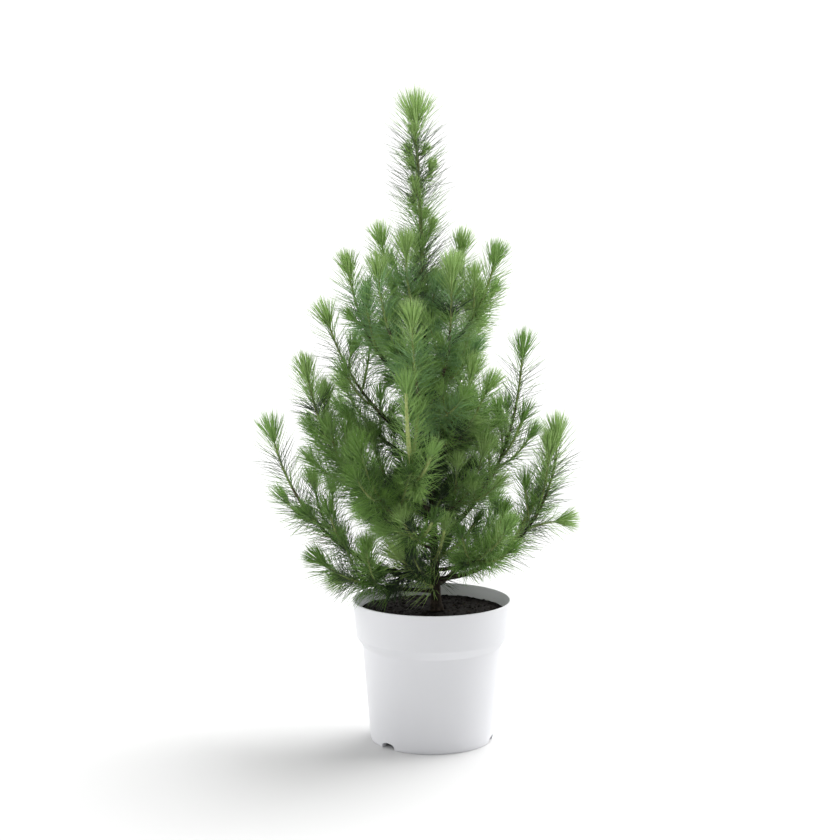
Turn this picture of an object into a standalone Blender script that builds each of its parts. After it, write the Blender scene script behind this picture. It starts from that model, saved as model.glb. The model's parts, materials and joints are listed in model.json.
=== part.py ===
"""A young stone pine in a round white nursery pot.

Metres, +Z up. The origin is the centre of the pot's flat underside. The trunk stands on the soil and
runs whole to the leader's tip. Boughs spring from it in whorls and turn upward, and each ends where
it enters its mass of foliage: one stem, the twigs that branch from it by a seeded rule, and needles
fused on. The needles are fewer and stouter than life. Nodes keep a small clear gap to each other.
"""

import math
import random
from collections import namedtuple

import bmesh
import bpy
import numpy as np
from mathutils import Vector

MM = 0.001
UP = Vector((0, 0, 1))
GAP = 0.3 * MM
GOLDEN_TURN = math.radians(137.5)
NEEDLE_PIECES = 3
LOOK_AROUND = 45 * MM
MOST_SEGMENTS = 20000

# Pot: a thin moulded wall with a deeper collar round its top.
POT_HEIGHT = 124.7 * MM
RIM_RADIUS = 70.0 * MM
COLLAR_FOOT_RADIUS = 66.6 * MM
COLLAR_FOOT_HEIGHT = 92.5 * MM
BODY_TOP_RADIUS = 61.2 * MM
BODY_TOP_HEIGHT = 84.5 * MM
BODY_FOOT_RADIUS = 54.2 * MM
FOOT_ROUNDING = 1.5 * MM
WALL = 1.8 * MM
LIP_ROUNDING = 0.5 * MM
FLOOR_TOP = 6.0 * MM
FOOT_RING_WIDTH = 4.0 * MM
PAD_RADIUS = 22.0 * MM
CHANNEL_DEPTH = 3.5 * MM
CHANNEL_SLOPE = 1.5 * MM
POT_SIDES = 32
NOTCHES = 3
NOTCH_WIDTH = 15.0 * MM
NOTCH_HEIGHT = 6.5 * MM
NOTCH_TURN = math.radians(105)
DRAINS = 3
DRAIN_RADIUS = 4.0 * MM
DRAIN_SIDES = 6
DRAIN_CIRCLE = 38.0 * MM

# Soil: fills the pot to a little under its rim.
SOIL_LEVEL = 114.0 * MM
SOIL_SIDES = 16
SOIL_PAD_RADIUS = 9.0 * MM
SOIL_RINGS = 4
SOIL_LUMP = 1.3 * MM
SOIL_SEED = 3

# Trunk: leans a little to -X, with a flare at its foot.
TRUNK_HEIGHT = 421.0 * MM
TRUNK_FOOT_X = 4.0 * MM
TRUNK_LEAN = -18.0 * MM
TRUNK_BOW = 1.0 * MM
TRUNK_SWAY = 1.5 * MM
TRUNK_FOOT_RADIUS = 4.3 * MM
TRUNK_TIP_RADIUS = 1.2 * MM
FLARE = 2.4 * MM
FLARE_HEIGHT = 7.0 * MM
FLARE_LOBES = 5
FLARE_LOBE_DEPTH = 0.12
TRUNK_SIDES = 10
TRUNK_RINGS = 14
TRUNK_STEPS = 30
TRUNK_TIP_PART = 20.0 * MM
CUT_EXTRA = 0.05 * MM

# Shoots: each is one curve from the trunk's centre line to its tip.
SHOOT_TIP_RADIUS = 1.0 * MM
SHOOT_ROOT_RADIUS = 1.3 * MM
SHOOT_STOUTNESS = 0.005
CURVE_TENSION = 1.15
CURVE_STEPS = 40
BOUGH_SIDES = 5
BOUGH_PIECE = 16.0 * MM
STEM_SIDES = 4
STEM_ROOT_RADIUS = 2.3 * MM
STEM_TIP_RADIUS = 1.6 * MM

# foot: height above the soil where it leaves the trunk; bearing: degrees from +X towards +Y;
# reach and rise: from there to its tip; leave, arrive: pitch in degrees at its root and tip;
# bare: the part of it that is a bough, 0 where foliage starts at the trunk; twigs: how many.
# Lengths are in millimetres.
Shoot = namedtuple("Shoot", "name foot bearing reach rise leave arrive bare twigs")
SHOOTS = (
    Shoot("low_left", 27, 176, 146, 145, 2, 84, 0.3, 3),
    Shoot("low_right", 28, 354, 104, 147, 2, 100, 0.3, 2),
    Shoot("low_left_front", 17, 200, 117, 48, 8, 55, 0.36, 2),
    Shoot("low_front", 19, 212, 50, 48, 30, 50, 0.0, 0),
    Shoot("low_front_left", 31, 188, 64, 2, 12, -15, 0.0, 1),
    Shoot("low_back_right", 22, 58, 108, 80, 5, 80, 0.38, 3),
    Shoot("low_back_left", 34, 118, 112, 92, 5, 80, 0.38, 3),
    Shoot("left", 60, 190, 115, 170, 20, 80, 0.28, 5),
    Shoot("right", 61, 11, 80, 185, 35, 88, 0.24, 5),
    Shoot("front_left", 55, 245, 68, 55, 15, 88, 0.4, 2),
    Shoot("front", 43, 282, 44, 58, 35, 88, 0.0, 1),
    Shoot("right_front", 36, 315, 92, 66, 10, 75, 0.3, 4),
    Shoot("inner_left", 82, 160, 60, 86, 10, 82, 0.0, 3),
    Shoot("inner_right", 86, 341, 50, 76, 10, 80, 0.0, 3),
    Shoot("inner_back", 92, 40, 60, 84, 10, 82, 0.0, 3),
    Shoot("left_front", 71, 228, 97, 100, 5, 80, 0.3, 3),
    Shoot("back", 69, 92, 104, 130, 5, 82, 0.3, 4),
    Shoot("front_tall", 88, 252, 72, 134, 12, 98, 0.3, 2),
    Shoot("upper_back", 112, 70, 78, 120, 5, 85, 0.3, 3),
    Shoot("left_back", 125, 150, 96, 86, 20, 72, 0.3, 3),
    Shoot("mid_right", 134, 336, 62, 82, 25, 62, 0.0, 3),
    Shoot("mid_left", 140, 170, 97, 132, 30, 75, 0.3, 2),
    Shoot("mid_right_front", 152, 318, 51, 81, 20, 80, 0.0, 2),
    Shoot("mid_front", 169, 257, 67, 109, 10, 92, 0.0, 2),
    Shoot("high_back_left", 176, 115, 78, 96, 20, 80, 0.3, 3),
    Shoot("high_back_right", 186, 55, 76, 96, 20, 80, 0.3, 3),
    Shoot("high_left", 191, 180, 72, 127, 25, 82, 0.3, 2),
    Shoot("high_right_front", 192, 299, 40, 125, 20, 88, 0.0, 2),
    Shoot("high_left_front", 203, 222, 58, 114, 25, 88, 0.0, 2),
    Shoot("high_right", 217, 351, 62, 110, 35, 82, 0.3, 2),
    Shoot("top_left", 235, 150, 49, 107, 35, 78, 0.0, 1),
    Shoot("top_right", 243, 30, 40, 93, 35, 75, 0.0, 1),
    Shoot("top_front", 250, 236, 31, 86, 30, 88, 0.0, 1),
    Shoot("top_back", 256, 95, 34, 84, 35, 80, 0.0, 1),
)

# Side shoots that stand out by themselves. along: how far up the parent's curve; the rest as above.
Side = namedtuple("Side", "parent along bearing reach rise")
SIDES = (
    Side("low_right", 0.46, 345, 46, 24),
    Side("low_right", 0.34, 24, 46, 112),
    Side("low_right", 0.54, 312, 18, 80),
    Side("low_left", 0.42, 148, 28, 70),
    Side("low_left", 0.52, 235, 24, 26),
    Side("left", 0.46, 232, 26, 62),
    Side("left", 0.60, 110, 18, 62),
    Side("front_tall", 0.36, 276, 32, 4),
    Side("front_left", 0.50, 196, 38, 20),
    Side("mid_left", 0.60, 60, 16, 40),
    Side("right", 0.46, 250, 18, 60),
    Side("high_right", 0.45, 185, 18, 60),
    Side("low_front_left", 0.30, 240, 44, -2),
    Side("low_left_front", 0.42, 240, 16, 54),
    Side("low_left_front", 0.56, 165, 30, 10),
    Side("left_front", 0.44, 200, 34, 6),
)

SIDE_LIFT = 1.6

# Twigs that the seeded rule adds.
TWIG_LENGTH = 46.0 * MM
TWIG_FIRST = 0.06
TWIG_LAST = 0.50
TWIG_LEAN = (40, 62)
TWIG_LIFT = 0.55
TWIG_ROOT_RADIUS = 1.9 * MM
TWIG_TIP_RADIUS = 1.5 * MM
TWIG_SIDES = 3
TWIG_STEPS = 6

# Needles: each is a slim pyramid drawn out of one face of its stem, and stands for a few real ones.
NEEDLE_LENGTH = 27.0 * MM
NEEDLE_SPACING = 6.2 * MM
NEEDLE_TWIST = 0.37
NEEDLE_SPLAY = 62
NEEDLE_TIP_SPLAY = 30
NEEDLE_SWERVE = 9
NEEDLE_TRIES = 5
NEEDLE_TRY_SWERVE = 12
NEEDLE_TRY_SHORTER = 0.08
NEEDLE_SEED = 11
NEEDLE_DROOP = 0.30
TUFT_RINGS = 2
TUFT_SPACING = 3.0 * MM

# Leader: needles stand round the trunk's top on thin cores, with short tufts between them.
LEADER_FROM = (276, 326, 374)
LEADER_TO = (324, 372, 419)
LEADER_NAMES = ("lower", "middle", "upper")
LEADER_CORE = 1.3 * MM
LEADER_SIDES = 6
LEADER_TUFTS = 3
LEADER_TUFT_LENGTH = 15.0 * MM
LEADER_TUFT_LIFT = 0.8
LEADER_TUFT_STEPS = 3
LEADER_TIP_LENGTH = 8.0 * MM

Material = namedtuple("Material", "colour roughness")
MATERIALS = {
    "pot": Material((0.86, 0.87, 0.89), 0.42),
    "soil": Material((0.035, 0.026, 0.02), 0.95),
    "bark": Material((0.20, 0.16, 0.11), 0.85),
    "needles": Material((0.16, 0.32, 0.09), 0.55),
}


# ---------------------------------------------------------------- objects and meshes

def clear_scene():
    for obj in list(bpy.data.objects):
        bpy.data.objects.remove(obj, do_unlink=True)


def material(name):
    look = MATERIALS[name]
    made = bpy.data.materials.get(name)
    if made is None:
        made = bpy.data.materials.new(name)
        made.use_nodes = True
        shader = made.node_tree.nodes["Principled BSDF"]
        shader.inputs["Base Color"].default_value = (*look.colour, 1)
        shader.inputs["Roughness"].default_value = look.roughness
        shader.inputs["Metallic"].default_value = 0
    return made


def new_object(name, points, faces, finish, collection=None):
    mesh = bpy.data.meshes.new(name)
    mesh.from_pydata([tuple(point) for point in points], [], faces)
    mesh.materials.append(material(finish))
    obj = bpy.data.objects.new(name, mesh)
    (collection or bpy.context.scene.collection).objects.link(obj)
    return obj


def apply_boolean(obj, operation, other, solver="EXACT"):
    """Joins or cuts with one object, or with every object of a collection, and removes what it used."""
    modifier = obj.modifiers.new("join", "BOOLEAN")
    modifier.operation = operation
    modifier.solver = solver
    if isinstance(other, bpy.types.Collection):
        modifier.operand_type = "COLLECTION"
        modifier.collection = other
        used = list(other.objects)
    else:
        modifier.object = other
        used = [other]
    graph = bpy.context.evaluated_depsgraph_get()
    joined = bpy.data.meshes.new_from_object(obj.evaluated_get(graph))
    obj.modifiers.clear()
    obj.data = joined
    for piece in used:
        bpy.data.objects.remove(piece, do_unlink=True)
    if isinstance(other, bpy.types.Collection):
        bpy.data.collections.remove(other)


def keep_outer_skin(obj):
    """Keeps the largest connected skin, so that sealed hollows are filled and loose scraps go.

    Skins that only touch along an edge are apart. It says whether each edge then joins two faces.
    """
    mesh = bmesh.new()
    mesh.from_mesh(obj.data)
    bmesh.ops.triangulate(mesh, faces=mesh.faces)
    left = set(mesh.faces)
    skins = []
    while left:
        skin = {left.pop()}
        edge_of = list(skin)
        while edge_of:
            face = edge_of.pop()
            for edge in face.edges:
                if not edge.is_manifold:
                    continue
                for other in edge.link_faces:
                    if other in left:
                        left.remove(other)
                        skin.add(other)
                        edge_of.append(other)
        skins.append(skin)
    largest = max(skins, key=lambda skin: sum(face.calc_area() for face in skin))
    spare = [face for skin in skins if skin is not largest for face in skin]
    bmesh.ops.delete(mesh, geom=spare, context="FACES")
    sound = all(edge.is_manifold for edge in mesh.edges)
    mesh.to_mesh(obj.data)
    mesh.free()
    return sound


def helper_collection(name):
    made = bpy.data.collections.new(name)
    bpy.context.scene.collection.children.link(made)
    return made


def smooth(obj, degrees=40):
    obj.data.shade_smooth()
    obj.data.set_sharp_from_angle(angle=math.radians(degrees))


def across(direction):
    """Two unit vectors square to a direction and to each other."""
    guide = UP if abs(direction.z) < 0.9 else Vector((1, 0, 0))
    first = guide.cross(direction).normalized()
    return first, direction.cross(first)


def tube(points, radii, sides, twist=0):
    """A closed tube along a line of points, as (corners, faces). A last radius of 0 ends it in a point.

    The sides' faces come first, ring by ring. Each ring is turned by a share of a side from the last.
    """
    corners = []
    faces = []
    rings = len(points) if radii[-1] > 0 else len(points) - 1
    first, _ = across((points[1] - points[0]).normalized())
    for index in range(rings):
        behind = points[max(index - 1, 0)]
        ahead = points[min(index + 1, len(points) - 1)]
        forward = (ahead - behind).normalized()
        first = (first - forward * first.dot(forward)).normalized()
        second = forward.cross(first)
        for side in range(sides):
            turn = math.tau * (side + index * twist) / sides
            spoke = first * math.cos(turn) + second * math.sin(turn)
            corners.append(points[index] + spoke * radii[index])
    for index in range(rings - 1):
        for side in range(sides):
            low = index * sides + side
            low_next = index * sides + (side + 1) % sides
            faces.append((low, low_next, low_next + sides, low + sides))
    faces.append(tuple(reversed(range(sides))))
    last = (rings - 1) * sides
    if rings == len(points):
        faces.append(tuple(range(last, last + sides)))
    else:
        corners.append(points[-1])
        for side in range(sides):
            faces.append((last + side, last + (side + 1) % sides, len(corners) - 1))
    return corners, faces


def turned(profile, sides):
    """A closed solid turned about the Z axis from an outline that starts and ends on it."""
    corners = [Vector((0, 0, profile[0][1]))]
    faces = []
    rings = profile[1:-1]
    for radius, height in rings:
        for side in range(sides):
            turn = math.tau * side / sides
            corners.append(Vector((radius * math.cos(turn), radius * math.sin(turn), height)))
    corners.append(Vector((0, 0, profile[-1][1])))
    for side in range(sides):
        after = (side + 1) % sides
        faces.append((0, 1 + after, 1 + side))
        for ring in range(len(rings) - 1):
            low = 1 + ring * sides
            faces.append((low + side, low + after, low + sides + after, low + sides + side))
        last = 1 + (len(rings) - 1) * sides
        faces.append((last + side, last + after, len(corners) - 1))
    return corners, faces


# ---------------------------------------------------------------- pot and soil

def outer_radius(height):
    """The pot's outer radius at a height."""
    if height >= COLLAR_FOOT_HEIGHT:
        share = (height - COLLAR_FOOT_HEIGHT) / (POT_HEIGHT - COLLAR_FOOT_HEIGHT)
        return COLLAR_FOOT_RADIUS + share * (RIM_RADIUS - COLLAR_FOOT_RADIUS)
    if height >= BODY_TOP_HEIGHT:
        share = (height - BODY_TOP_HEIGHT) / (COLLAR_FOOT_HEIGHT - BODY_TOP_HEIGHT)
        return BODY_TOP_RADIUS + share * (COLLAR_FOOT_RADIUS - BODY_TOP_RADIUS)
    share = height / BODY_TOP_HEIGHT
    return BODY_FOOT_RADIUS + share * (BODY_TOP_RADIUS - BODY_FOOT_RADIUS)


def inner_radius(height):
    return outer_radius(height) - WALL


def make_pot():
    ring_inner = BODY_FOOT_RADIUS - FOOT_RING_WIDTH
    profile = [
        (0, 0),
        (PAD_RADIUS, 0),
        (PAD_RADIUS + CHANNEL_SLOPE, CHANNEL_DEPTH),
        (ring_inner - CHANNEL_SLOPE, CHANNEL_DEPTH),
        (ring_inner, 0),
        (BODY_FOOT_RADIUS - FOOT_ROUNDING, 0),
        (outer_radius(FOOT_ROUNDING), FOOT_ROUNDING),
        (BODY_TOP_RADIUS, BODY_TOP_HEIGHT),
        (COLLAR_FOOT_RADIUS, COLLAR_FOOT_HEIGHT),
        (outer_radius(POT_HEIGHT - LIP_ROUNDING), POT_HEIGHT - LIP_ROUNDING),
        (RIM_RADIUS - LIP_ROUNDING, POT_HEIGHT),
        (inner_radius(POT_HEIGHT) + LIP_ROUNDING, POT_HEIGHT),
        (inner_radius(POT_HEIGHT), POT_HEIGHT - LIP_ROUNDING),
        (inner_radius(COLLAR_FOOT_HEIGHT), COLLAR_FOOT_HEIGHT),
        (inner_radius(BODY_TOP_HEIGHT), BODY_TOP_HEIGHT),
        (inner_radius(FLOOR_TOP), FLOOR_TOP),
        (0, FLOOR_TOP),
    ]
    corners, faces = turned(profile, POT_SIDES)
    pot = new_object("pot", corners, faces, "pot")
    cutters = helper_collection("pot_cutters")
    for index in range(NOTCHES):
        turn = NOTCH_TURN + math.tau * index / NOTCHES
        outward = Vector((math.cos(turn), math.sin(turn), 0))
        sideways = Vector((-outward.y, outward.x, 0))
        arch = (
            (-NOTCH_WIDTH / 2, -NOTCH_HEIGHT),
            (NOTCH_WIDTH / 2, -NOTCH_HEIGHT),
            (NOTCH_WIDTH / 2, NOTCH_HEIGHT / 2),
            (NOTCH_WIDTH / 3, NOTCH_HEIGHT),
            (-NOTCH_WIDTH / 3, NOTCH_HEIGHT),
            (-NOTCH_WIDTH / 2, NOTCH_HEIGHT / 2),
        )
        near = ring_inner - 2 * CHANNEL_SLOPE
        far = BODY_FOOT_RADIUS + FOOT_RING_WIDTH
        corners = [outward * near + sideways * x + UP * min(z, CHANNEL_DEPTH) for x, z in arch]
        corners += [outward * far + sideways * x + UP * z for x, z in arch]
        count = len(arch)
        faces = [tuple(reversed(range(count))), tuple(range(count, 2 * count))]
        for side in range(count):
            after = (side + 1) % count
            faces.append((side, after, after + count, side + count))
        new_object("notch", corners, faces, "pot", cutters)
    for index in range(DRAINS):
        turn = math.tau * index / DRAINS
        centre = Vector((math.cos(turn), math.sin(turn), 0)) * DRAIN_CIRCLE
        ends = [centre - UP * CHANNEL_DEPTH, centre + UP * 2 * FLOOR_TOP]
        corners, faces = tube(ends, [DRAIN_RADIUS] * 2, DRAIN_SIDES)
        new_object("drain", corners, faces, "pot", cutters)
    apply_boolean(pot, "DIFFERENCE", cutters)
    smooth(pot, 30)


def make_soil():
    rng = random.Random(SOIL_SEED)
    edge = inner_radius(SOIL_LEVEL) - GAP
    bottom = inner_radius(FLOOR_TOP + GAP) - GAP
    profile = [(0, FLOOR_TOP + GAP), (bottom, FLOOR_TOP + GAP)]
    profile.append((inner_radius(BODY_TOP_HEIGHT) - 2 * GAP, BODY_TOP_HEIGHT))
    profile.append((inner_radius(COLLAR_FOOT_HEIGHT) - 2 * GAP, COLLAR_FOOT_HEIGHT))
    profile.append((edge, SOIL_LEVEL - SOIL_LUMP))
    for ring in range(SOIL_RINGS):
        share = (ring + 1) / SOIL_RINGS
        profile.append((edge + share * (SOIL_PAD_RADIUS - edge), SOIL_LEVEL))
    profile.append((0, SOIL_LEVEL))
    corners, faces = turned(profile, SOIL_SIDES)
    for corner in corners:
        radius = math.hypot(corner.x, corner.y)
        if corner.z > SOIL_LEVEL - GAP and SOIL_PAD_RADIUS + MM < radius < edge - MM:
            corner.z += rng.uniform(-1, 0.6) * SOIL_LUMP
    soil = new_object("soil", corners, faces, "soil")
    smooth(soil)


# ---------------------------------------------------------------- trunk

def trunk_point(height):
    """The trunk's centre line, by height above its foot."""
    share = height / TRUNK_HEIGHT
    x = TRUNK_FOOT_X + TRUNK_LEAN * share + TRUNK_BOW * math.sin(math.pi * share)
    y = TRUNK_SWAY * math.sin(math.tau * share)
    return Vector((x, y, SOIL_LEVEL + GAP + height))


def trunk_radius(height):
    share = height / TRUNK_HEIGHT
    taper = TRUNK_FOOT_RADIUS + (TRUNK_TIP_RADIUS - TRUNK_FOOT_RADIUS) * share**0.8
    return taper + FLARE * math.exp(-height / FLARE_HEIGHT)


def trunk_shape(extra):
    """The trunk's skin, moved out by a clearance. The foot's lobes fade out up the trunk."""
    heights = [TRUNK_HEIGHT * (ring / (TRUNK_RINGS - 1)) ** 1.5 for ring in range(TRUNK_RINGS)]
    corners = []
    faces = []
    for height in heights:
        centre = trunk_point(height)
        for side in range(TRUNK_SIDES):
            turn = math.tau * side / TRUNK_SIDES
            lobe = 1 + FLARE_LOBE_DEPTH * math.cos(FLARE_LOBES * turn) * math.exp(-height / FLARE_HEIGHT)
            radius = trunk_radius(height) * lobe + extra
            corners.append(centre + Vector((math.cos(turn), math.sin(turn), 0)) * radius)
    for ring in range(TRUNK_RINGS - 1):
        for side in range(TRUNK_SIDES):
            low = ring * TRUNK_SIDES + side
            low_next = ring * TRUNK_SIDES + (side + 1) % TRUNK_SIDES
            faces.append((low, low_next, low_next + TRUNK_SIDES, low + TRUNK_SIDES))
    faces.append(tuple(reversed(range(TRUNK_SIDES))))
    last = (TRUNK_RINGS - 1) * TRUNK_SIDES
    faces.append(tuple(range(last, last + TRUNK_SIDES)))
    return corners, faces


def clear_of_trunk(obj):
    """Cuts a root back to a small clear gap round the trunk."""
    corners, faces = trunk_shape(GAP + CUT_EXTRA)
    top = TRUNK_SIDES * (TRUNK_RINGS - 1)
    for corner in corners[top:]:
        corner.z += GAP
    apply_boolean(obj, "DIFFERENCE", new_object("trunk_room", corners, faces, "bark"))


# ---------------------------------------------------------------- the rule of growth

def pitched(bearing, pitch):
    """A unit vector from a bearing and a pitch in degrees."""
    level = math.cos(math.radians(pitch))
    turn = math.radians(bearing)
    return Vector((math.cos(turn) * level, math.sin(turn) * level, math.sin(math.radians(pitch))))


def smooth_curve(start, tip, leaving, arriving, steps):
    """Points on one smooth curve that leaves and arrives along two directions."""
    pull = (tip - start).length * CURVE_TENSION
    points = []
    for step in range(steps + 1):
        t = step / steps
        a = 2 * t**3 - 3 * t**2 + 1
        b = t**3 - 2 * t**2 + t
        c = t**3 - t**2
        points.append(start * a + leaving * (b * pull) + tip * (1 - a) + arriving * (c * pull))
    return points


def curve_length(points):
    return sum((after - before).length for before, after in zip(points, points[1:]))


def along(points, share):
    """The point and the unit direction at a share of a curve's length."""
    left = share * curve_length(points)
    for before, after in zip(points, points[1:]):
        step = (after - before).length
        if left <= step or after is points[-1]:
            return before.lerp(after, min(left / step, 1)), (after - before).normalized()
        left -= step


def shoot_curve(shoot):
    start = trunk_point(shoot.foot * MM)
    level = pitched(shoot.bearing, 0)
    tip = start + level * (shoot.reach * MM) + UP * (shoot.rise * MM)
    leaving = pitched(shoot.bearing, shoot.leave)
    arriving = pitched(shoot.bearing, shoot.arrive)
    return smooth_curve(start, tip, leaving, arriving, CURVE_STEPS)


def shoot_radius(points, share):
    root = SHOOT_ROOT_RADIUS + SHOOT_STOUTNESS * curve_length(points)
    return root + (SHOOT_TIP_RADIUS - root) * share


def side_curve(side, parent):
    start, forward = along(parent, side.along)
    tip = start + pitched(side.bearing, 0) * (side.reach * MM) + UP * (side.rise * MM)
    leaving = (forward + (tip - start).normalized()).normalized()
    arriving = (UP * SIDE_LIFT + (tip - start).normalized()).normalized()
    curve = smooth_curve(start, tip, leaving, arriving, CURVE_STEPS)
    return stretch(curve, 0, 1 - NEEDLE_LENGTH / curve_length(curve), NEEDLE_SPACING)


def twig_curves(shoot, stem):
    """The twigs of one stem: they go round it by the golden angle, lean out and lift."""
    rng = random.Random(shoot.name)
    curves = []
    for index in range(shoot.twigs):
        share = TWIG_FIRST + (TWIG_LAST - TWIG_FIRST) * (index + 0.6 * rng.random()) / shoot.twigs
        start, forward = along(stem, share)
        first, second = across(forward)
        turn = index * GOLDEN_TURN + rng.uniform(-0.5, 0.5)
        outward = first * math.cos(turn) + second * math.sin(turn)
        lean = math.radians(rng.uniform(*TWIG_LEAN))
        leaving = forward * math.cos(lean) + outward * math.sin(lean)
        length = TWIG_LENGTH * (1.1 - 0.6 * share) * rng.uniform(0.75, 1.1)
        tip = start + (leaving + UP * TWIG_LIFT).normalized() * length
        arriving = (leaving + UP * 2 * TWIG_LIFT).normalized()
        curves.append(smooth_curve(start, tip, leaving, arriving, TWIG_STEPS))
    return curves


def needle_tip(root, forward, outward, share, attempt, rng):
    """Where a needle ends: splayed from its stem, less so towards the stem's tip, and drooping a little."""
    swerve = NEEDLE_SWERVE + NEEDLE_TRY_SWERVE * attempt
    splay = NEEDLE_SPLAY + (NEEDLE_TIP_SPLAY - NEEDLE_SPLAY) * share**3
    splay = math.radians(splay + rng.uniform(-swerve, swerve) / 2)
    swerve = math.radians(rng.uniform(-swerve, swerve))
    aside = forward.cross(outward)
    outward = outward * math.cos(swerve) + aside * math.sin(swerve)
    heading = forward * math.cos(splay) + outward * math.sin(splay)
    heading.z -= NEEDLE_DROOP * (1 - abs(forward.z)) * math.sin(splay)
    length = NEEDLE_LENGTH * rng.uniform(0.86, 1.08) * (1 - NEEDLE_TRY_SHORTER * attempt)
    return root + heading.normalized() * length


# ---------------------------------------------------------------- what is already there

class Neighbours:
    """Every round piece placed so far, as straight segments with a radius and an owner's number."""

    def __init__(self):
        self.count = 0
        self.starts = np.zeros((MOST_SEGMENTS, 3))
        self.ends = np.zeros((MOST_SEGMENTS, 3))
        self.radii = np.zeros(MOST_SEGMENTS)
        self.owners = np.zeros(MOST_SEGMENTS, int)
        self.numbers = {}

    def number(self, owner):
        return self.numbers.setdefault(owner, len(self.numbers))

    def add(self, points, radii, owner):
        for index in range(len(points) - 1):
            self.starts[self.count] = points[index]
            self.ends[self.count] = points[index + 1]
            self.radii[self.count] = max(radii[index], radii[index + 1])
            self.owners[self.count] = self.number(owner)
            self.count += 1

    def clearance(self, start, end, passed):
        """The least clear distance from a segment's line to a piece of any owner not passed over."""
        p, q = self.starts[: self.count], self.ends[: self.count]
        middle = np.array((start + end) / 2)
        apart = np.abs((p + q) / 2 - middle).max(1)
        near = apart < LOOK_AROUND
        for owner in passed:
            near &= self.owners[: self.count] != self.number(owner)
        if not near.any():
            return LOOK_AROUND
        p, q, radii = p[near], q[near], self.radii[: self.count][near]
        u = np.array(end - start)
        v = q - p
        w = np.array(start) - p
        a = max(u @ u, 1e-18)
        b = v @ u
        c = np.maximum((v * v).sum(1), 1e-18)
        d = w @ u
        e = (v * w).sum(1)
        s = np.clip((b * e - c * d) / np.maximum(a * c - b * b, 1e-18), 0, 1)
        t = np.clip((b * s + e) / c, 0, 1)
        s = np.clip((b * t - d) / a, 0, 1)
        apart = w + s[:, None] * u - t[:, None] * v
        return float((np.sqrt((apart * apart).sum(1)) - radii).min())


def clear_of_pot(point, radius):
    """Above the soil inside the rim, or outside the pot, and never in its wall."""
    out = math.hypot(point.x, point.y)
    if point.z < SOIL_LEVEL + SOIL_LUMP + radius and out < inner_radius(SOIL_LEVEL):
        return False
    if point.z > POT_HEIGHT + radius + GAP:
        return True
    height = min(max(point.z, 0), POT_HEIGHT)
    return out < inner_radius(height) - radius - MM or out > outer_radius(height) + radius + MM


def fits(points, radii, passed, neighbours):
    """Whether a tapering piece keeps clear of pot, soil and every owner that isn't passed over."""
    for start, end, radius in zip(points, points[1:], radii):
        if neighbours.clearance(start, end, passed) < radius + GAP:
            return False
        for share in (0, 0.25, 0.5, 0.75, 1):
            if not clear_of_pot(start.lerp(end, share), radius):
                return False
    return True


# ---------------------------------------------------------------- limbs and masses of foliage

def stretch(points, low, high, piece):
    """Points at even steps of a curve, from one share of its length to another."""
    count = max(2, round(curve_length(points) * (high - low) / piece) + 1)
    return [along(points, low + (high - low) * step / (count - 1))[0] for step in range(count)]


class Stem:
    """One needled stem or twig: a tube whose side faces are drawn out into needles where there's room."""

    def __init__(self, name, line, radii, sides):
        self.name = name
        self.needled = name + " needles"
        self.sides = sides
        self.passed = {name}
        self.line = line
        self.radii = radii
        self.pointed = True
        self.needles = {}

    def reach(self):
        """The stem's line and radii, with the pointed needle that ends it."""
        if not self.pointed:
            return self.line, self.radii
        forward = (self.line[-1] - self.line[-2]).normalized()
        return self.line + [self.line[-1] + forward * NEEDLE_LENGTH], self.radii + [0]

    def shape(self):
        return tube(*self.reach(), self.sides, NEEDLE_TWIST)

    def has_room(self, points, sizes, neighbours):
        """Whether a needle is clear of all else and, past its root, of this stem's other needles."""
        slim = [size / 2 for size in sizes[1:]]
        if not fits(points, sizes, self.passed | {self.needled}, neighbours):
            return False
        return fits(points[1:], slim, self.passed, neighbours)

    def grow_needles(self, neighbours, rng):
        corners, faces = self.shape()
        rings = len(self.line) - 1
        for index, face in enumerate(faces[: rings * self.sides]):
            ring = index // self.sides
            foot = [corners[corner] for corner in face]
            root = sum(foot, Vector()) / len(foot)
            forward = (self.line[ring + 1] - self.line[ring]).normalized()
            outward = root - (self.line[ring] + self.line[ring + 1]) / 2
            outward = (outward - forward * outward.dot(forward)).normalized()
            width = max((corner - root).length for corner in foot)
            sizes = [width * (1 - step / NEEDLE_PIECES) for step in range(NEEDLE_PIECES + 1)]
            for attempt in range(NEEDLE_TRIES):
                tip = needle_tip(root, forward, outward, (ring + 0.5) / rings, attempt, rng)
                points = [root.lerp(tip, step / NEEDLE_PIECES) for step in range(NEEDLE_PIECES + 1)]
                if self.has_room(points, sizes, neighbours):
                    self.needles[index] = tip
                    neighbours.add(points[:2], sizes[:2], self.name)
                    neighbours.add(points[1:], sizes[1:], self.needled)
                    break

    def mesh(self):
        corners, faces = self.shape()
        drawn = []
        for index, face in enumerate(faces):
            if index not in self.needles:
                drawn.append(face)
                continue
            corners.append(self.needles[index])
            for corner, after in zip(face, face[1:] + face[:1]):
                drawn.append((corner, after, len(corners) - 1))
        return corners, drawn


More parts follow.
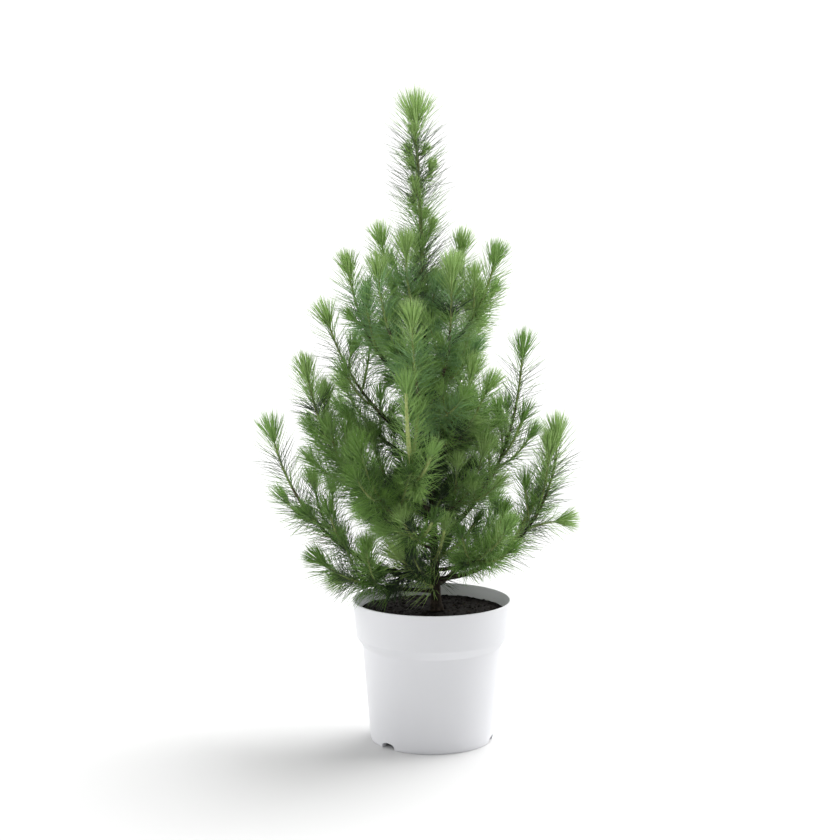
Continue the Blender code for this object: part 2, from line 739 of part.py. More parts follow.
class Mass:
    """One mass of foliage: its needled stem, and the side shoots and twigs that branch from it."""

    def __init__(self, name, stem, cut):
        self.name = name
        self.stem = stem
        self.cut = cut
        self.twigs = []

    def grow_twig(self, curve, neighbours):
        count = len(curve) - 1
        taper = TWIG_TIP_RADIUS - TWIG_ROOT_RADIUS
        radii = [TWIG_ROOT_RADIUS + taper * step / count for step in range(count + 1)]
        twig = Stem(f"{self.name}/{len(self.twigs)}", curve, radii, TWIG_SIDES)
        line, sizes = twig.reach()
        if fits(line, sizes, self.stem.passed, neighbours):
            self.twigs.append(twig)
            neighbours.add(line, sizes, twig.name)

    def joined(self, twigs, solver):
        """The pieces as one object, and whether its skin is sound."""
        obj = new_object(self.name, *self.stem.mesh(), "needles")
        if twigs:
            pieces = helper_collection(self.name + "_pieces")
            for twig in twigs:
                new_object("twig", *twig.mesh(), "needles", pieces)
            apply_boolean(obj, "UNION", pieces, solver)
        if self.cut:
            clear_of_trunk(obj)
        return obj, keep_outer_skin(obj)

    def sound_object(self, twigs):
        """The pieces as one object by either solver, or None where neither gives a sound skin."""
        for solver in ("EXACT", "MANIFOLD"):
            obj, sound = self.joined(twigs, solver)
            if sound or not twigs:
                return obj
            bpy.data.objects.remove(obj, do_unlink=True)
        return None

    def build(self):
        """Joins the pieces. Where that fails, a twig is left out: one whose loss mends it, or the last."""
        obj = self.sound_object(self.twigs)
        while obj is None:
            for spoiler in self.twigs:
                kept = [twig for twig in self.twigs if twig is not spoiler]
                obj = self.sound_object(kept)
                if obj is not None:
                    break
            else:
                kept = self.twigs[:-1]
            self.twigs = kept
        smooth(obj)


def needle_rings(points, low, high):
    """A needled stem's rings along a curve: evenly spaced, then closer under its tip."""
    length = curve_length(points)
    tuft = TUFT_RINGS * TUFT_SPACING / length
    line = stretch(points, low, high - tuft, NEEDLE_SPACING)
    for ring in range(TUFT_RINGS):
        line.append(along(points, high - tuft + (ring + 1) * TUFT_SPACING / length)[0])
    return line


def make_bough(name, points, bare):
    line = stretch(points, 0, bare, BOUGH_PIECE)
    count = len(line) - 1
    radii = [shoot_radius(points, bare * step / count) for step in range(count + 1)]
    corners, faces = tube(line, radii, BOUGH_SIDES)
    obj = new_object(name, corners, faces, "bark")
    clear_of_trunk(obj)
    smooth(obj)
    return line, radii


def shoot_mass(shoot, points):
    """The stem of a shoot's foliage, from its bough's tip or the trunk to its own tip."""
    start = shoot.bare + GAP / curve_length(points) if shoot.bare else 0
    line = needle_rings(points, start, 1 - NEEDLE_LENGTH / curve_length(points))
    count = len(line) - 1
    taper = STEM_TIP_RADIUS - STEM_ROOT_RADIUS
    radii = [STEM_ROOT_RADIUS + taper * step / count for step in range(count + 1)]
    radii[0] = shoot_radius(points, start)
    name = "foliage_" + shoot.name
    return Mass(name, Stem(name, line, radii, STEM_SIDES), not shoot.bare)


def leader_masses():
    """Thin needled cores round the trunk's top, and the tuft that ends it."""
    masses = []
    for part, low, high in zip(LEADER_NAMES, LEADER_FROM, LEADER_TO):
        count = round((high - low) * MM / NEEDLE_SPACING)
        heights = [(low + (high - low) * step / count) * MM for step in range(count + 1)]
        line = [trunk_point(height) for height in heights]
        radii = [trunk_radius(height) + GAP + LEADER_CORE for height in heights]
        name = "foliage_leader_" + part
        stem = Stem(name, line, radii, LEADER_SIDES)
        stem.pointed = False
        masses.append(Mass(name, stem, True))
    top = trunk_point(TRUNK_HEIGHT)
    heading = (top - trunk_point(TRUNK_HEIGHT - TRUNK_TIP_PART)).normalized()
    line = [top + heading * length for length in (GAP, LEADER_TIP_LENGTH / 2, LEADER_TIP_LENGTH)]
    name = "foliage_leader_tip"
    radii = [TRUNK_TIP_RADIUS, STEM_ROOT_RADIUS, STEM_TIP_RADIUS]
    masses.append(Mass(name, Stem(name, line, radii, LEADER_SIDES), False))
    for mass in masses:
        mass.stem.passed.add("trunk")
    return masses


def leader_tufts(mass):
    """Short tufts that stand out of the leader's core, as curves."""
    rng = random.Random(mass.name)
    curves = []
    for index in range(LEADER_TUFTS):
        share = (index + 0.5 * rng.random()) / LEADER_TUFTS
        start, forward = along(mass.stem.line, share)
        first, second = across(forward)
        turn = (index + 0.5) * GOLDEN_TURN + rng.uniform(-0.3, 0.3)
        outward = first * math.cos(turn) + second * math.sin(turn)
        length = LEADER_TUFT_LENGTH * rng.uniform(0.7, 1.1)
        tip = start + (outward + forward * LEADER_TUFT_LIFT).normalized() * length
        curves.append(smooth_curve(start, tip, outward, forward, LEADER_TUFT_STEPS))
    return curves


def make_plant():
    neighbours = Neighbours()
    corners, faces = trunk_shape(0)
    smooth(new_object("trunk", corners, faces, "bark"))
    heights = [TRUNK_HEIGHT * step / TRUNK_STEPS for step in range(TRUNK_STEPS + 1)]
    trunk_line = [trunk_point(height) for height in heights]
    neighbours.add(trunk_line, [trunk_radius(height) for height in heights], "trunk")

    curves = {shoot.name: shoot_curve(shoot) for shoot in SHOOTS}
    masses = {}
    for shoot in SHOOTS:
        points = curves[shoot.name]
        if shoot.bare:
            name = "bough_" + shoot.name
            line, radii = make_bough(name, points, shoot.bare)
            neighbours.add(line, radii, name)
        masses[shoot.name] = shoot_mass(shoot, points)
    leaders = leader_masses()
    everything = list(masses.values()) + leaders
    for mass in everything:
        neighbours.add(*mass.stem.reach(), mass.name)

    for side in SIDES:
        masses[side.parent].grow_twig(side_curve(side, curves[side.parent]), neighbours)
    for mass in leaders[:-1]:
        for curve in leader_tufts(mass):
            mass.grow_twig(curve, neighbours)
        mass.stem.passed.update(twig.name for twig in mass.twigs)
    for shoot in SHOOTS:
        mass = masses[shoot.name]
        for curve in twig_curves(shoot, mass.stem.line):
            mass.grow_twig(curve, neighbours)

    rng = random.Random(NEEDLE_SEED)
    for mass in reversed(everything):
        mass.stem.grow_needles(neighbours, rng)
    for mass in everything:
        for twig in mass.twigs:
            twig.grow_needles(neighbours, rng)
    for mass in everything:
        mass.build()


clear_scene()
make_pot()
make_soil()
make_plant()
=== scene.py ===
"""The looks of a young stone pine in a round white nursery pot.

Metres, +Z up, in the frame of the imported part. The plant grows here by the source's rule, written
again: the same trunk, shoots, side shoots and seeded twigs, carried on to short spurs and to needles
of their own outline. Needles are dealt out by spray into a few tints, and joined tint by tint.
"""

import json
import math
import random
from collections import namedtuple
from itertools import groupby

import bmesh
import bpy
import numpy as np
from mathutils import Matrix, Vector, noise

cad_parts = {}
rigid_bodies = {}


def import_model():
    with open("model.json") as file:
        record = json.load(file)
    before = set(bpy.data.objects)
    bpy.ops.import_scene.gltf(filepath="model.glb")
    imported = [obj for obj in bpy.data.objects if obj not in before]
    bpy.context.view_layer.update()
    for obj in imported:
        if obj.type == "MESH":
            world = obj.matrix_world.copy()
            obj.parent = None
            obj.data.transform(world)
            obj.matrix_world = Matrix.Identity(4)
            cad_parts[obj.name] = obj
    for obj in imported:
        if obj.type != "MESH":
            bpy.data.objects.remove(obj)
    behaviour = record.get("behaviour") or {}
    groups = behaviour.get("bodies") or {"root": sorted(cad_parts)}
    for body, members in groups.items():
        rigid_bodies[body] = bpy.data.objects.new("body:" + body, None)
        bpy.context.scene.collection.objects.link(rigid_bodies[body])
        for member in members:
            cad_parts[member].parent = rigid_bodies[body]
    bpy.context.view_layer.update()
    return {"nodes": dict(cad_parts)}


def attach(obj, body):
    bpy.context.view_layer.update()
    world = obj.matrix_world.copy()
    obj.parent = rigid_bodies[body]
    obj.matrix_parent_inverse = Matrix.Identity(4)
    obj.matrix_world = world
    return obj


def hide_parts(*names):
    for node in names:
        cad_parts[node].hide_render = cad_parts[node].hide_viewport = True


MM = 0.001
UP = Vector((0, 0, 1))
GAP = 0.3 * MM
GOLDEN_TURN = math.radians(137.5)

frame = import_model()
NODES = list(frame["nodes"])
BOUGHS = [name for name in NODES if name.startswith("bough_")]
MASSES = [name for name in NODES if name.startswith("foliage_")]

# ---- sizes shared with the source
POT_HEIGHT = 124.7 * MM
RIM_RADIUS = 70.0 * MM
COLLAR_FOOT_RADIUS = 66.6 * MM
COLLAR_FOOT_HEIGHT = 92.5 * MM
BODY_TOP_RADIUS = 61.2 * MM
BODY_TOP_HEIGHT = 84.5 * MM
BODY_FOOT_RADIUS = 54.2 * MM
WALL = 1.8 * MM
FLOOR_TOP = 6.0 * MM
FOOT_RING_WIDTH = 4.0 * MM
PAD_RADIUS = 22.0 * MM
CHANNEL_DEPTH = 3.5 * MM
CHANNEL_SLOPE = 1.5 * MM
NOTCHES = 3
NOTCH_WIDTH = 15.0 * MM
NOTCH_HEIGHT = 6.5 * MM
NOTCH_TURN = math.radians(105)
DRAINS = 3
DRAIN_RADIUS = 4.0 * MM
DRAIN_CIRCLE = 38.0 * MM
SOIL_LEVEL = 114.0 * MM
SOIL_LUMP = 1.3 * MM

TRUNK_HEIGHT = 421.0 * MM
TRUNK_FOOT_X = 4.0 * MM
TRUNK_LEAN = -18.0 * MM
TRUNK_BOW = 1.0 * MM
TRUNK_SWAY = 1.5 * MM
TRUNK_FOOT_RADIUS = 4.3 * MM
TRUNK_TIP_RADIUS = 1.2 * MM
TRUNK_TAPER = 0.8
TRUNK_TIP_PART = 20.0 * MM
FLARE = 2.4 * MM
FLARE_HEIGHT = 7.0 * MM
FLARE_LOBES = 5
FLARE_LOBE_DEPTH = 0.12

SHOOT_TIP_RADIUS = 1.0 * MM
SHOOT_ROOT_RADIUS = 1.3 * MM
SHOOT_STOUTNESS = 0.005
CURVE_TENSION = 1.15
CURVE_STEPS = 40
NEEDLE_LENGTH = 27.0 * MM
NEEDLE_SPACING = 6.2 * MM
TUFT_RINGS = 2
TUFT_SPACING = 3.0 * MM
LEADER_PARTS = (("lower", 276, 324), ("middle", 326, 372), ("upper", 374, 419))
LEADER_TUFTS = 3
LEADER_TUFT_LENGTH = 15.0 * MM
LEADER_TUFT_LIFT = 0.8
LEADER_TUFT_STEPS = 3

TWIG_LENGTH = 46.0 * MM
TWIG_FIRST = 0.06
TWIG_LAST = 0.50
TWIG_LEAN = (40, 62)
TWIG_LIFT = 0.55
TWIG_TAPER = (1.1, 0.6)
TWIG_VARIES = (0.75, 1.1)
TWIG_STEPS = 6

# foot: height above the soil where it leaves the trunk; bearing: degrees from +X towards +Y;
# reach and rise: from there to its tip; leave, arrive: pitch in degrees at its root and tip;
# bare: the part of it that is a bough, 0 where foliage starts at the trunk; twigs: how many.
# Lengths are in millimetres.
Shoot = namedtuple("Shoot", "name foot bearing reach rise leave arrive bare twigs")
SHOOTS = (
    Shoot("low_left", 27, 176, 146, 145, 2, 84, 0.3, 3),
    Shoot("low_right", 28, 354, 104, 147, 2, 100, 0.3, 2),
    Shoot("low_left_front", 17, 200, 117, 48, 8, 55, 0.36, 2),
    Shoot("low_front", 19, 212, 50, 48, 30, 50, 0.0, 0),
    Shoot("low_front_left", 31, 188, 64, 2, 12, -15, 0.0, 1),
    Shoot("low_back_right", 22, 58, 108, 80, 5, 80, 0.38, 3),
    Shoot("low_back_left", 34, 118, 112, 92, 5, 80, 0.38, 3),
    Shoot("left", 60, 190, 115, 170, 20, 80, 0.28, 5),
    Shoot("right", 61, 11, 80, 185, 35, 88, 0.24, 5),
    Shoot("front_left", 55, 245, 68, 55, 15, 88, 0.4, 2),
    Shoot("front", 43, 282, 44, 58, 35, 88, 0.0, 1),
    Shoot("right_front", 36, 315, 92, 66, 10, 75, 0.3, 4),
    Shoot("inner_left", 82, 160, 60, 86, 10, 82, 0.0, 3),
    Shoot("inner_right", 86, 341, 50, 76, 10, 80, 0.0, 3),
    Shoot("inner_back", 92, 40, 60, 84, 10, 82, 0.0, 3),
    Shoot("left_front", 71, 228, 97, 100, 5, 80, 0.3, 3),
    Shoot("back", 69, 92, 104, 130, 5, 82, 0.3, 4),
    Shoot("front_tall", 88, 252, 72, 134, 12, 98, 0.3, 2),
    Shoot("upper_back", 112, 70, 78, 120, 5, 85, 0.3, 3),
    Shoot("left_back", 125, 150, 96, 86, 20, 72, 0.3, 3),
    Shoot("mid_right", 134, 336, 62, 82, 25, 62, 0.0, 3),
    Shoot("mid_left", 140, 170, 97, 132, 30, 75, 0.3, 2),
    Shoot("mid_right_front", 152, 318, 51, 81, 20, 80, 0.0, 2),
    Shoot("mid_front", 169, 257, 67, 109, 10, 92, 0.0, 2),
    Shoot("high_back_left", 176, 115, 78, 96, 20, 80, 0.3, 3),
    Shoot("high_back_right", 186, 55, 76, 96, 20, 80, 0.3, 3),
    Shoot("high_left", 191, 180, 72, 127, 25, 82, 0.3, 2),
    Shoot("high_right_front", 192, 299, 40, 125, 20, 88, 0.0, 2),
    Shoot("high_left_front", 203, 222, 58, 114, 25, 88, 0.0, 2),
    Shoot("high_right", 217, 351, 62, 110, 35, 82, 0.3, 2),
    Shoot("top_left", 235, 150, 49, 107, 35, 78, 0.0, 1),
    Shoot("top_right", 243, 30, 40, 93, 35, 75, 0.0, 1),
    Shoot("top_front", 250, 236, 31, 86, 30, 88, 0.0, 1),
    Shoot("top_back", 256, 95, 34, 84, 35, 80, 0.0, 1),
)

# Side shoots: along is the share of the parent's length, and the rest is as for a shoot.
Side = namedtuple("Side", "parent along bearing reach rise")
SIDES = (
    Side("low_right", 0.46, 345, 46, 24),
    Side("low_right", 0.34, 24, 46, 112),
    Side("low_right", 0.54, 312, 18, 80),
    Side("low_left", 0.42, 148, 28, 70),
    Side("low_left", 0.52, 235, 24, 26),
    Side("left", 0.46, 232, 26, 62),
    Side("left", 0.60, 110, 18, 62),
    Side("front_tall", 0.36, 276, 32, 4),
    Side("front_left", 0.50, 196, 38, 20),
    Side("mid_left", 0.60, 60, 16, 40),
    Side("right", 0.46, 250, 18, 60),
    Side("high_right", 0.45, 185, 18, 60),
    Side("low_front_left", 0.30, 240, 44, -2),
    Side("low_left_front", 0.42, 240, 16, 54),
    Side("low_left_front", 0.56, 165, 30, 10),
    Side("left_front", 0.44, 200, 34, 6),
)
SIDE_LIFT = 1.6

# ---- sizes of the looks
PLANT_SEED = 23
TRUNK_SKIN_SIDES = 28
YOUNG_SKIN_SIDES = 12
BOUGH_SKIN_SIDES = 16
STEM_SKIN_SIDES = 7
# Old bark ends at this share of the trunk's height, and young bark goes on to the tip.
OLD_BARK_SHARE = 0.68
# Relief is read from noise in millimetres, in a place of its own for each limb.
RELIEF_SCALE = 1000
RELIEF_SHIFT = 7.0
# A skin's radius against the solid's own.
SKIN_SHARE = 0.97
YOUNG_SKIN_SHARE = 0.93
# How far a bough's bark reaches into its foliage, and how far along a shoot without a bough.
BARK_OVERLAP = 0.04
BARK_ON_BARE_SHOOT = 0.12
BARK_STEP = 1.1 * MM
BOUGH_BARK_STEP = 1.2 * BARK_STEP
STEM_STEP = 2.4 * MM
STEM_LOOK_TIP = 0.75 * MM
STEM_LOOK_GROWTH = 0.0075
STEM_LOOK_MOST = 2.0 * MM
SPUR_LOOK_RADIUS = STEM_LOOK_TIP * 0.8
PALE_STOUTNESS = 1.6
GREEN_STEM_LENGTH = 45 * MM
DARK_STEM_BELOW = 200 * MM
# A needled stem starts at this share of its bough's length.
NEEDLED_FROM = 0.8

NEEDLE_PER_MM = 3.6
NEEDLE_LEAST = 22.0 * MM
NEEDLE_MOST = 30.0 * MM
NEEDLE_HALF_WIDTH = 0.35 * MM
NEEDLE_FLAT = 0.62
# Each needle is three-sided, with rings at (share of its length, share of its width) and a point.
NEEDLE_RINGS = ((0.0, 0.8), (0.34, 1.0), (0.72, 0.72))
NEEDLE_POINTS = 3 * len(NEEDLE_RINGS) + 1
NEEDLE_TRIANGLES = 6 * (len(NEEDLE_RINGS) - 1) + 4
NEEDLE_WIDTHS = (0.85, 1.12)
NEEDLE_SPLAY = (50, 70)
NEEDLE_TIP_SPLAY = (4, 34)
NEEDLE_TUFT_ZONE = 26.0 * MM
LEADER_FAN = 14
NEEDLE_BEND = 0.10
NEEDLE_SIDE_BEND = 0.05
NEEDLE_DROOP = 0.34
NEEDLE_SCATTER = 0.25
BUD_NEEDLES = {"leader": 150, "shoot": 100, "spur": 50, "twig": 50}
BUD_LENGTH = 4 * MM
BUD_NEEDLE_ZONE = 12 * MM
BUD_NEEDLES_SHORTER = 0.10
# Shoots and sides end this much short of the solids' tips, which their needles reach.
TIP_SHORT = 22.0 * MM
# Above the pot's rim by this much, no needle can reach the pot.
POT_REACH = 32 * MM
SPRAY = 9.0 * MM
# Spurs: how many to a millimetre, between which shares of the stem, how long, and their needles.
SPURS = (0.030, 0.03, 0.50, 1.0, 0.68)
LEADER_SPURS = (0.05, 0.1, 0.93, 0.5, 0.5)
SPUR_LENGTH = (7.0 * MM, 19.0 * MM)
SPUR_LEAN = 0.55
SPUR_LIFT = (0.35, 0.9)
SPUR_STEPS = 4
# The leader's needles grow from here up, in whole millimetres, and on past the trunk's top.
LEADER_FOOT = 246
LEADER_STEP = 3
LEADER_STUB = 4.0 * MM
# Short shaded sprigs straight from the trunk, which fill the crown's dark middle, their needles painted
# shade.
TRUNK_SPRIGS = 26
TRUNK_SPRIG_ZONE = (20.0 * MM, 190.0 * MM)
# Below this height none grow on the trunk's front.
TRUNK_BARE_FRONT = 75.0 * MM
TRUNK_SPRIG_LENGTH = (16.0 * MM, 38.0 * MM)
TRUNK_SPRIG_PITCH = (5, 35)
TRUNK_SPRIG_LIFT = 0.4
MOST_TRIANGLES = 190000

POT_SIDES = 160
POT_ROUNDING = 0.7 * MM
POT_SHARP = math.radians(38)
# The middle of a turned floor is closed by a small flat of this radius.
TURNED_CENTRE = 0.2 * MM
FOOT_BEVEL = (0.4 * MM, 0.2 * MM, 2.2 * MM)
NOTCH_STEPS = 8
NOTCH_UPRIGHT = 0.35
DRAIN_SIDES = 20
SOIL_RINGS = 70
SOIL_SIDES = 180
SOIL_SKIRT = 9 * MM
SOIL_MOUND = 0.6 * MM
SOIL_MOUND_WIDTH = 14 * MM
SOIL_SUNK = 0.6 * MM
SOIL_GAP = 0.15 * MM
# Lumps of the soil: (how close, height, place in the noise).
SOIL_LUMPS = ((45, 1.1 * MM, 3.1), (160, 1.0 * MM, 7.7), (520, 0.55 * MM, 1.3))
CRUMB_SIZE = (0.5 * MM, 1.9 * MM)
CRUMB_ROUGHNESS = (0.65, 1.15)
CRUMB_SHAPE = ((0.6, 1.5), (0.6, 1.2), (0.5, 0.9))
CRUMB_SPREAD = 0.985
CRUMB_FROM_EDGE = 1.2
CRUMB_LIFT = 0.15
CRUMB_FREE = 7.5 * MM
SOIL_DARK = (0.002, 0.0016, 0.0013)
SOIL_LIGHT = (0.011, 0.008, 0.006)
Crumbs = namedtuple("Crumbs", "name look dark light count seed size")
CRUMBS = (
    Crumbs("crumbs_dark", "crumb_dark", SOIL_DARK, SOIL_LIGHT, 620, 5, 1),
    Crumbs("crumbs_brown", "crumb_brown", (0.012, 0.008, 0.005), (0.05, 0.033, 0.021), 70, 6, 0.75),
)

CAMERA_PLACE = (-0.0105, -1.478, 0.451)
CAMERA_PITCH = 6.48
CAMERA_LENS = 73.2
FLOOR_HALF = 9.0
FLOOR_WHITE = 0.72
# The sky's strength: low in front, low behind, and overhead against those, from WORLD_LEVEL up.
WORLD_FRONT = 0.42
WORLD_BACK = 1.20
WORLD_ZENITH = 0.30
WORLD_LEVEL = 0.2
# Suns: (name, bearing from +X towards +Y, height, strength, angle across), in degrees.
SUNS = (
    ("key", 40, 50, 4.2, 60),
    ("left", 180, 25, 1.2, 70),
)

# The length of needles by the kind of stem, and against that on some shoots.
FULL = {
    "shoot": 1.0, "side": 0.88, "twig": 0.82, "leader": 1.35, "tuft": 0.5, "sprig": 0.8,
}
LENGTHS = {
    "front_left": 0.85, "front": 0.78, "low_front": 1.1, "right_front": 0.85,
    "low_front_left": 0.7, "low_left": 1.15, "mid_left": 1.12, "right": 1.12, "low_right": 1.12,
}

# Linear colours of the needles. Each spray draws one by where it grows. Deep and shade are painted shade.
TINTS = {
    # The palest tint is a young shoot's own yellow-green, made lighter as painted light.
    "pale": (0.50, 0.72, 0.22),
    "fresh": (0.35, 0.54, 0.16),
    "bright": (0.268, 0.460, 0.115),
    "green": (0.175, 0.335, 0.056),
    "bluish": (0.24, 0.44, 0.165),
    "deep": (0.080, 0.180, 0.023),
    "shade": (0.028, 0.065, 0.015),
    "old": (0.09, 0.14, 0.062),
    "dry": (0.20, 0.15, 0.06),
}
# Bark's colours are (dark, middle, light), from its cracks to its ridges.
OLD_BARK = ((0.012, 0.009, 0.007), (0.04, 0.030, 0.021), (0.10, 0.08, 0.06))
YOUNG_BARK = ((0.14, 0.15, 0.07), (0.25, 0.28, 0.12), (0.38, 0.41, 0.20))
STEM_LOOKS = {
    "green": ((0.22, 0.27, 0.09), (0.32, 0.39, 0.14), (0.44, 0.50, 0.22)),
    "brown": ((0.07, 0.06, 0.035), (0.14, 0.12, 0.07), (0.22, 0.19, 0.12)),
    "dark": ((0.018, 0.018, 0.012), (0.04, 0.036, 0.025), (0.08, 0.07, 0.05)),
    # Pale stems: their own pale green, made lighter as painted light against the needles' shade on them.
    "pale": ((0.38, 0.44, 0.15), (0.50, 0.57, 0.22), (0.62, 0.68, 0.32)),
}
# Shoots by the look of their needles. Clean ones bear no spurs, so their stems show through.
BLUISH = {"mid_front", "high_left_front", "high_right_front", "top_front", "high_left"}
YELLOW = {"front_tall", "low_front", "low_right_side_2", "front_tall_side_8"}
PALE_STEMMED = YELLOW | {"front_left", "front"}
# Shoots in half shade, mostly at the back, whose needles are mixed darker as painted shade.
HALF_SHADED = {"low_back_right", "low_back_left", "back", "upper_back", "left_front"}
# Shoots with more dark sprays, as painted shade.
IN_SHADE = {"front", "front_left_side_9", "left_front_side_16", "low_left_front_side_14", "inner_left"}
# The low front shoot, in its own pale yellow-green made lighter as painted light.
PALEST_LIT = {"low_front"}
# Shoots and trunk sprigs whose needles are mixed from the darkest tints, as painted shade.
SHADED = {"low_front_left", "low_front_left_side_13", "trunk"}
DULL_TIPPED = {"low_left_front"}
# Shoots on the right, towards the key light, whose needles are mixed brighter as painted light.
LIT_SIDE = {"mid_right", "mid_right_front", "inner_right", "high_right", "high_back_right", "right_side_11"}
CLEAN = {
    "low_left", "mid_left", "right", "low_right", "low_left_front", "left", "front_tall", "low_front",
    "low_right_side_1", "low_right_side_2", "low_right_side_3", "left_side_7", "front_tall_side_8",
}
OLD = {"low_left", "mid_left", "right", "low_right", "low_left_front", "low_right_side_1"}
# How close the needles stand, against NEEDLE_PER_MM.
CLOSENESS = {
    "low_left": 0.64, "mid_left": 0.54, "right": 0.55, "low_right": 0.58, "low_left_front": 1.3,
    "left": 1.4, "left_side_7": 1.4, "leader": 1.2, "front_tall": 0.6, "low_right_side_1": 0.5,
    "low_front_left": 1.2, "low_front_left_side_13": 1.6, "front": 0.7, "front_left": 0.7,
    "right_front": 1.3, "low_left_front_side_14": 1.5, "low_left_front_side_15": 1.5,
}
FINE_CLOSENESS = 0.85
# How sprays are mixed: a tint, its share of the sprays, and the tint of the others.
MIXES = {
    "leader_tip": ("fresh", 0.9, "bright"),
    "leader": ("old", 0.6, "green"),
    # Shaded shoots, mostly the darkest tint: painted shade.
    "shaded": ("shade", 0.75, "deep"),
    # Tips of shoots in half shade, less fresh: painted shade.
    "half_shaded_tip": ("bright", 0.5, "green"),
    "bluish_tip": ("bluish", 0.4, "fresh"),
    "tip": ("fresh", 0.55, "bright"),
    "old": ("old", 0.72, "green"),
    "yellow": ("bright", 0.75, "fresh"),
    "bluish": ("bluish", 0.6, "bright"),
    # Shoots in half shade, partly deep: painted shade.
    "half_shaded": ("deep", 0.4, "green"),
    # Shoots on the lit side, bright and fresh: painted light.
    "light": ("bright", 0.55, "fresh"),
}
TIP_SPRAY = 18 * MM
LEADER_TIP_SPRAY = 20 * MM
DRY_SHARE = 0.012
DRY_FROM_TIP = 60 * MM
# The share of sprays painted dark as shade: anywhere, what the crown's middle, its foot and shoots
# in shade add, and how much of it lit and yellow shoots keep.
DARK_SHARE = 0.04
DARK_INSIDE = 0.55
DARK_BELOW = 0.30
DARK_IN_SHADE = 0.45
DARK_SHARE_OF = ((LIT_SIDE, 0.3), (YELLOW, 0.1))
# The crown's middle, painted dark as shade: its radius, and the fade from its foot up.
MIDDLE_RADIUS = 60 * MM
MIDDLE_FADE = (1.15, 2.2)
CROWN_FOOT = 0.30
# Darkest among dark sprays grows inwards; plain green over bright grows lower down: painted shade.
SHADE_SHARE = (0.1, 0.6)
GREEN_SHARE = (0.85, 1.4)


# ---- meshes and materials

def new_object(name, data):
    made = bpy.data.objects.new(name, data)
    bpy.context.scene.collection.objects.link(made)
    return made


def new_mesh(name, verts, faces):
    mesh = bpy.data.meshes.new(name)
    mesh.from_pydata([tuple(v) for v in verts], [], [tuple(f) for f in faces])
    return mesh


def new_piece(name, verts, faces, material, *nodes, slot, smooth=True):
    """A piece from points and faces, riding on the root body and standing for the nodes."""
    mesh = new_mesh(name, verts, faces)
    mesh.validate()
    if smooth:
        mesh.shade_smooth()
    mesh.materials.append(material)
    piece = new_object(name, mesh)
    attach(piece, "root")
    if nodes:
        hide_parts(*nodes)
    return piece


def shader_of(name):
    made = bpy.data.materials.new(name)
    made.use_nodes = True
    return made, made.node_tree, made.node_tree.nodes["Principled BSDF"]


def noise_node(tree, scale, detail=3.0, roughness=0.5):
    coords = tree.nodes.new("ShaderNodeTexCoord")
    texture = tree.nodes.new("ShaderNodeTexNoise")
    texture.inputs["Scale"].default_value = scale
    texture.inputs["Detail"].default_value = detail
    texture.inputs["Roughness"].default_value = roughness
    tree.links.new(coords.outputs["Object"], texture.inputs["Vector"])
    return texture.outputs["Fac"]


def spread(tree, source, low, high, start=0.0):
    """Maps a value from start to 1 to a range."""
    node = tree.nodes.new("ShaderNodeMapRange")
    node.inputs["From Min"].default_value = start
    node.inputs["To Min"].default_value = low
    node.inputs["To Max"].default_value = high
    tree.links.new(source, node.inputs["Value"])
    return node.outputs["Result"]


def ramp(tree, source, stops):
    node = tree.nodes.new("ShaderNodeValToRGB")
    elements = node.color_ramp.elements
    while len(elements) < len(stops):
        elements.new(0.5)
    for element, (place, colour) in zip(elements, stops):
        element.position = place
        element.color = (*colour, 1)
    tree.links.new(source, node.inputs["Fac"])
    return node.outputs["Color"]


def bump(tree, shader, source, strength, distance):
    node = tree.nodes.new("ShaderNodeBump")
    node.inputs["Strength"].default_value = strength
    node.inputs["Distance"].default_value = distance
    tree.links.new(source, node.inputs["Height"])
    tree.links.new(node.outputs["Normal"], shader.inputs["Normal"])


def set_values(shader, values):
    for socket, value in values.items():
        shader.inputs[socket].default_value = value


def pot_material():
    made, tree, shader = shader_of("pot_plastic")
    set_values(shader, {
        "Base Color": (0.78, 0.785, 0.81, 1), "Specular IOR Level": 0.42,
        "Coat Weight": 0.06, "Coat Roughness": 0.2,
    })
    tree.links.new(spread(tree, noise_node(tree, 40), 0.34, 0.46), shader.inputs["Roughness"])
    bump(tree, shader, noise_node(tree, 900, 4), 0.10, 0.0002)
    return made


def soil_material(name, dark, light):
    made, tree, shader = shader_of(name)
    set_values(shader, {"Roughness": 0.95, "Specular IOR Level": 0.18})
    colour = ramp(tree, noise_node(tree, 520, 6, 0.7), ((0.3, dark), (0.62, light)))
    tree.links.new(colour, shader.inputs["Base Color"])
    bump(tree, shader, noise_node(tree, 900, 8, 0.75), 0.9, 0.0012)
    return made


def bark_material(name, dark, middle, light):
    made, tree, shader = shader_of(name)
    flakes = noise_node(tree, 260, 5, 0.65)
    colour = ramp(tree, flakes, ((0.32, dark), (0.52, middle), (0.72, light)))
    tree.links.new(colour, shader.inputs["Base Color"])
    tree.links.new(spread(tree, flakes, 0.95, 0.75), shader.inputs["Roughness"])
    set_values(shader, {"Specular IOR Level": 0.2})
    bump(tree, shader, noise_node(tree, 1400, 5, 0.6), 0.7, 0.0004)
    return made


def needle_material(name, colour):
    made, tree, shader = shader_of(name)
    set_values(shader, {
        "Base Color": (*colour, 1), "Specular IOR Level": 0.30,
        "Sheen Weight": 0.12, "Sheen Roughness": 0.5,
    })
    tree.links.new(spread(tree, noise_node(tree, 120, 2), 0.42, 0.62), shader.inputs["Roughness"])
    bump(tree, shader, noise_node(tree, 2600, 2), 0.15, 0.0001)
    return made


# ---- the rule of growth, as in the source

def across(direction):
    guide = UP if abs(direction.z) < 0.9 else Vector((1, 0, 0))
    first = guide.cross(direction).normalized()
    return first, direction.cross(first)


def outward_from(direction, turn):
    first, second = across(direction)
    return first * math.cos(turn) + second * math.sin(turn)


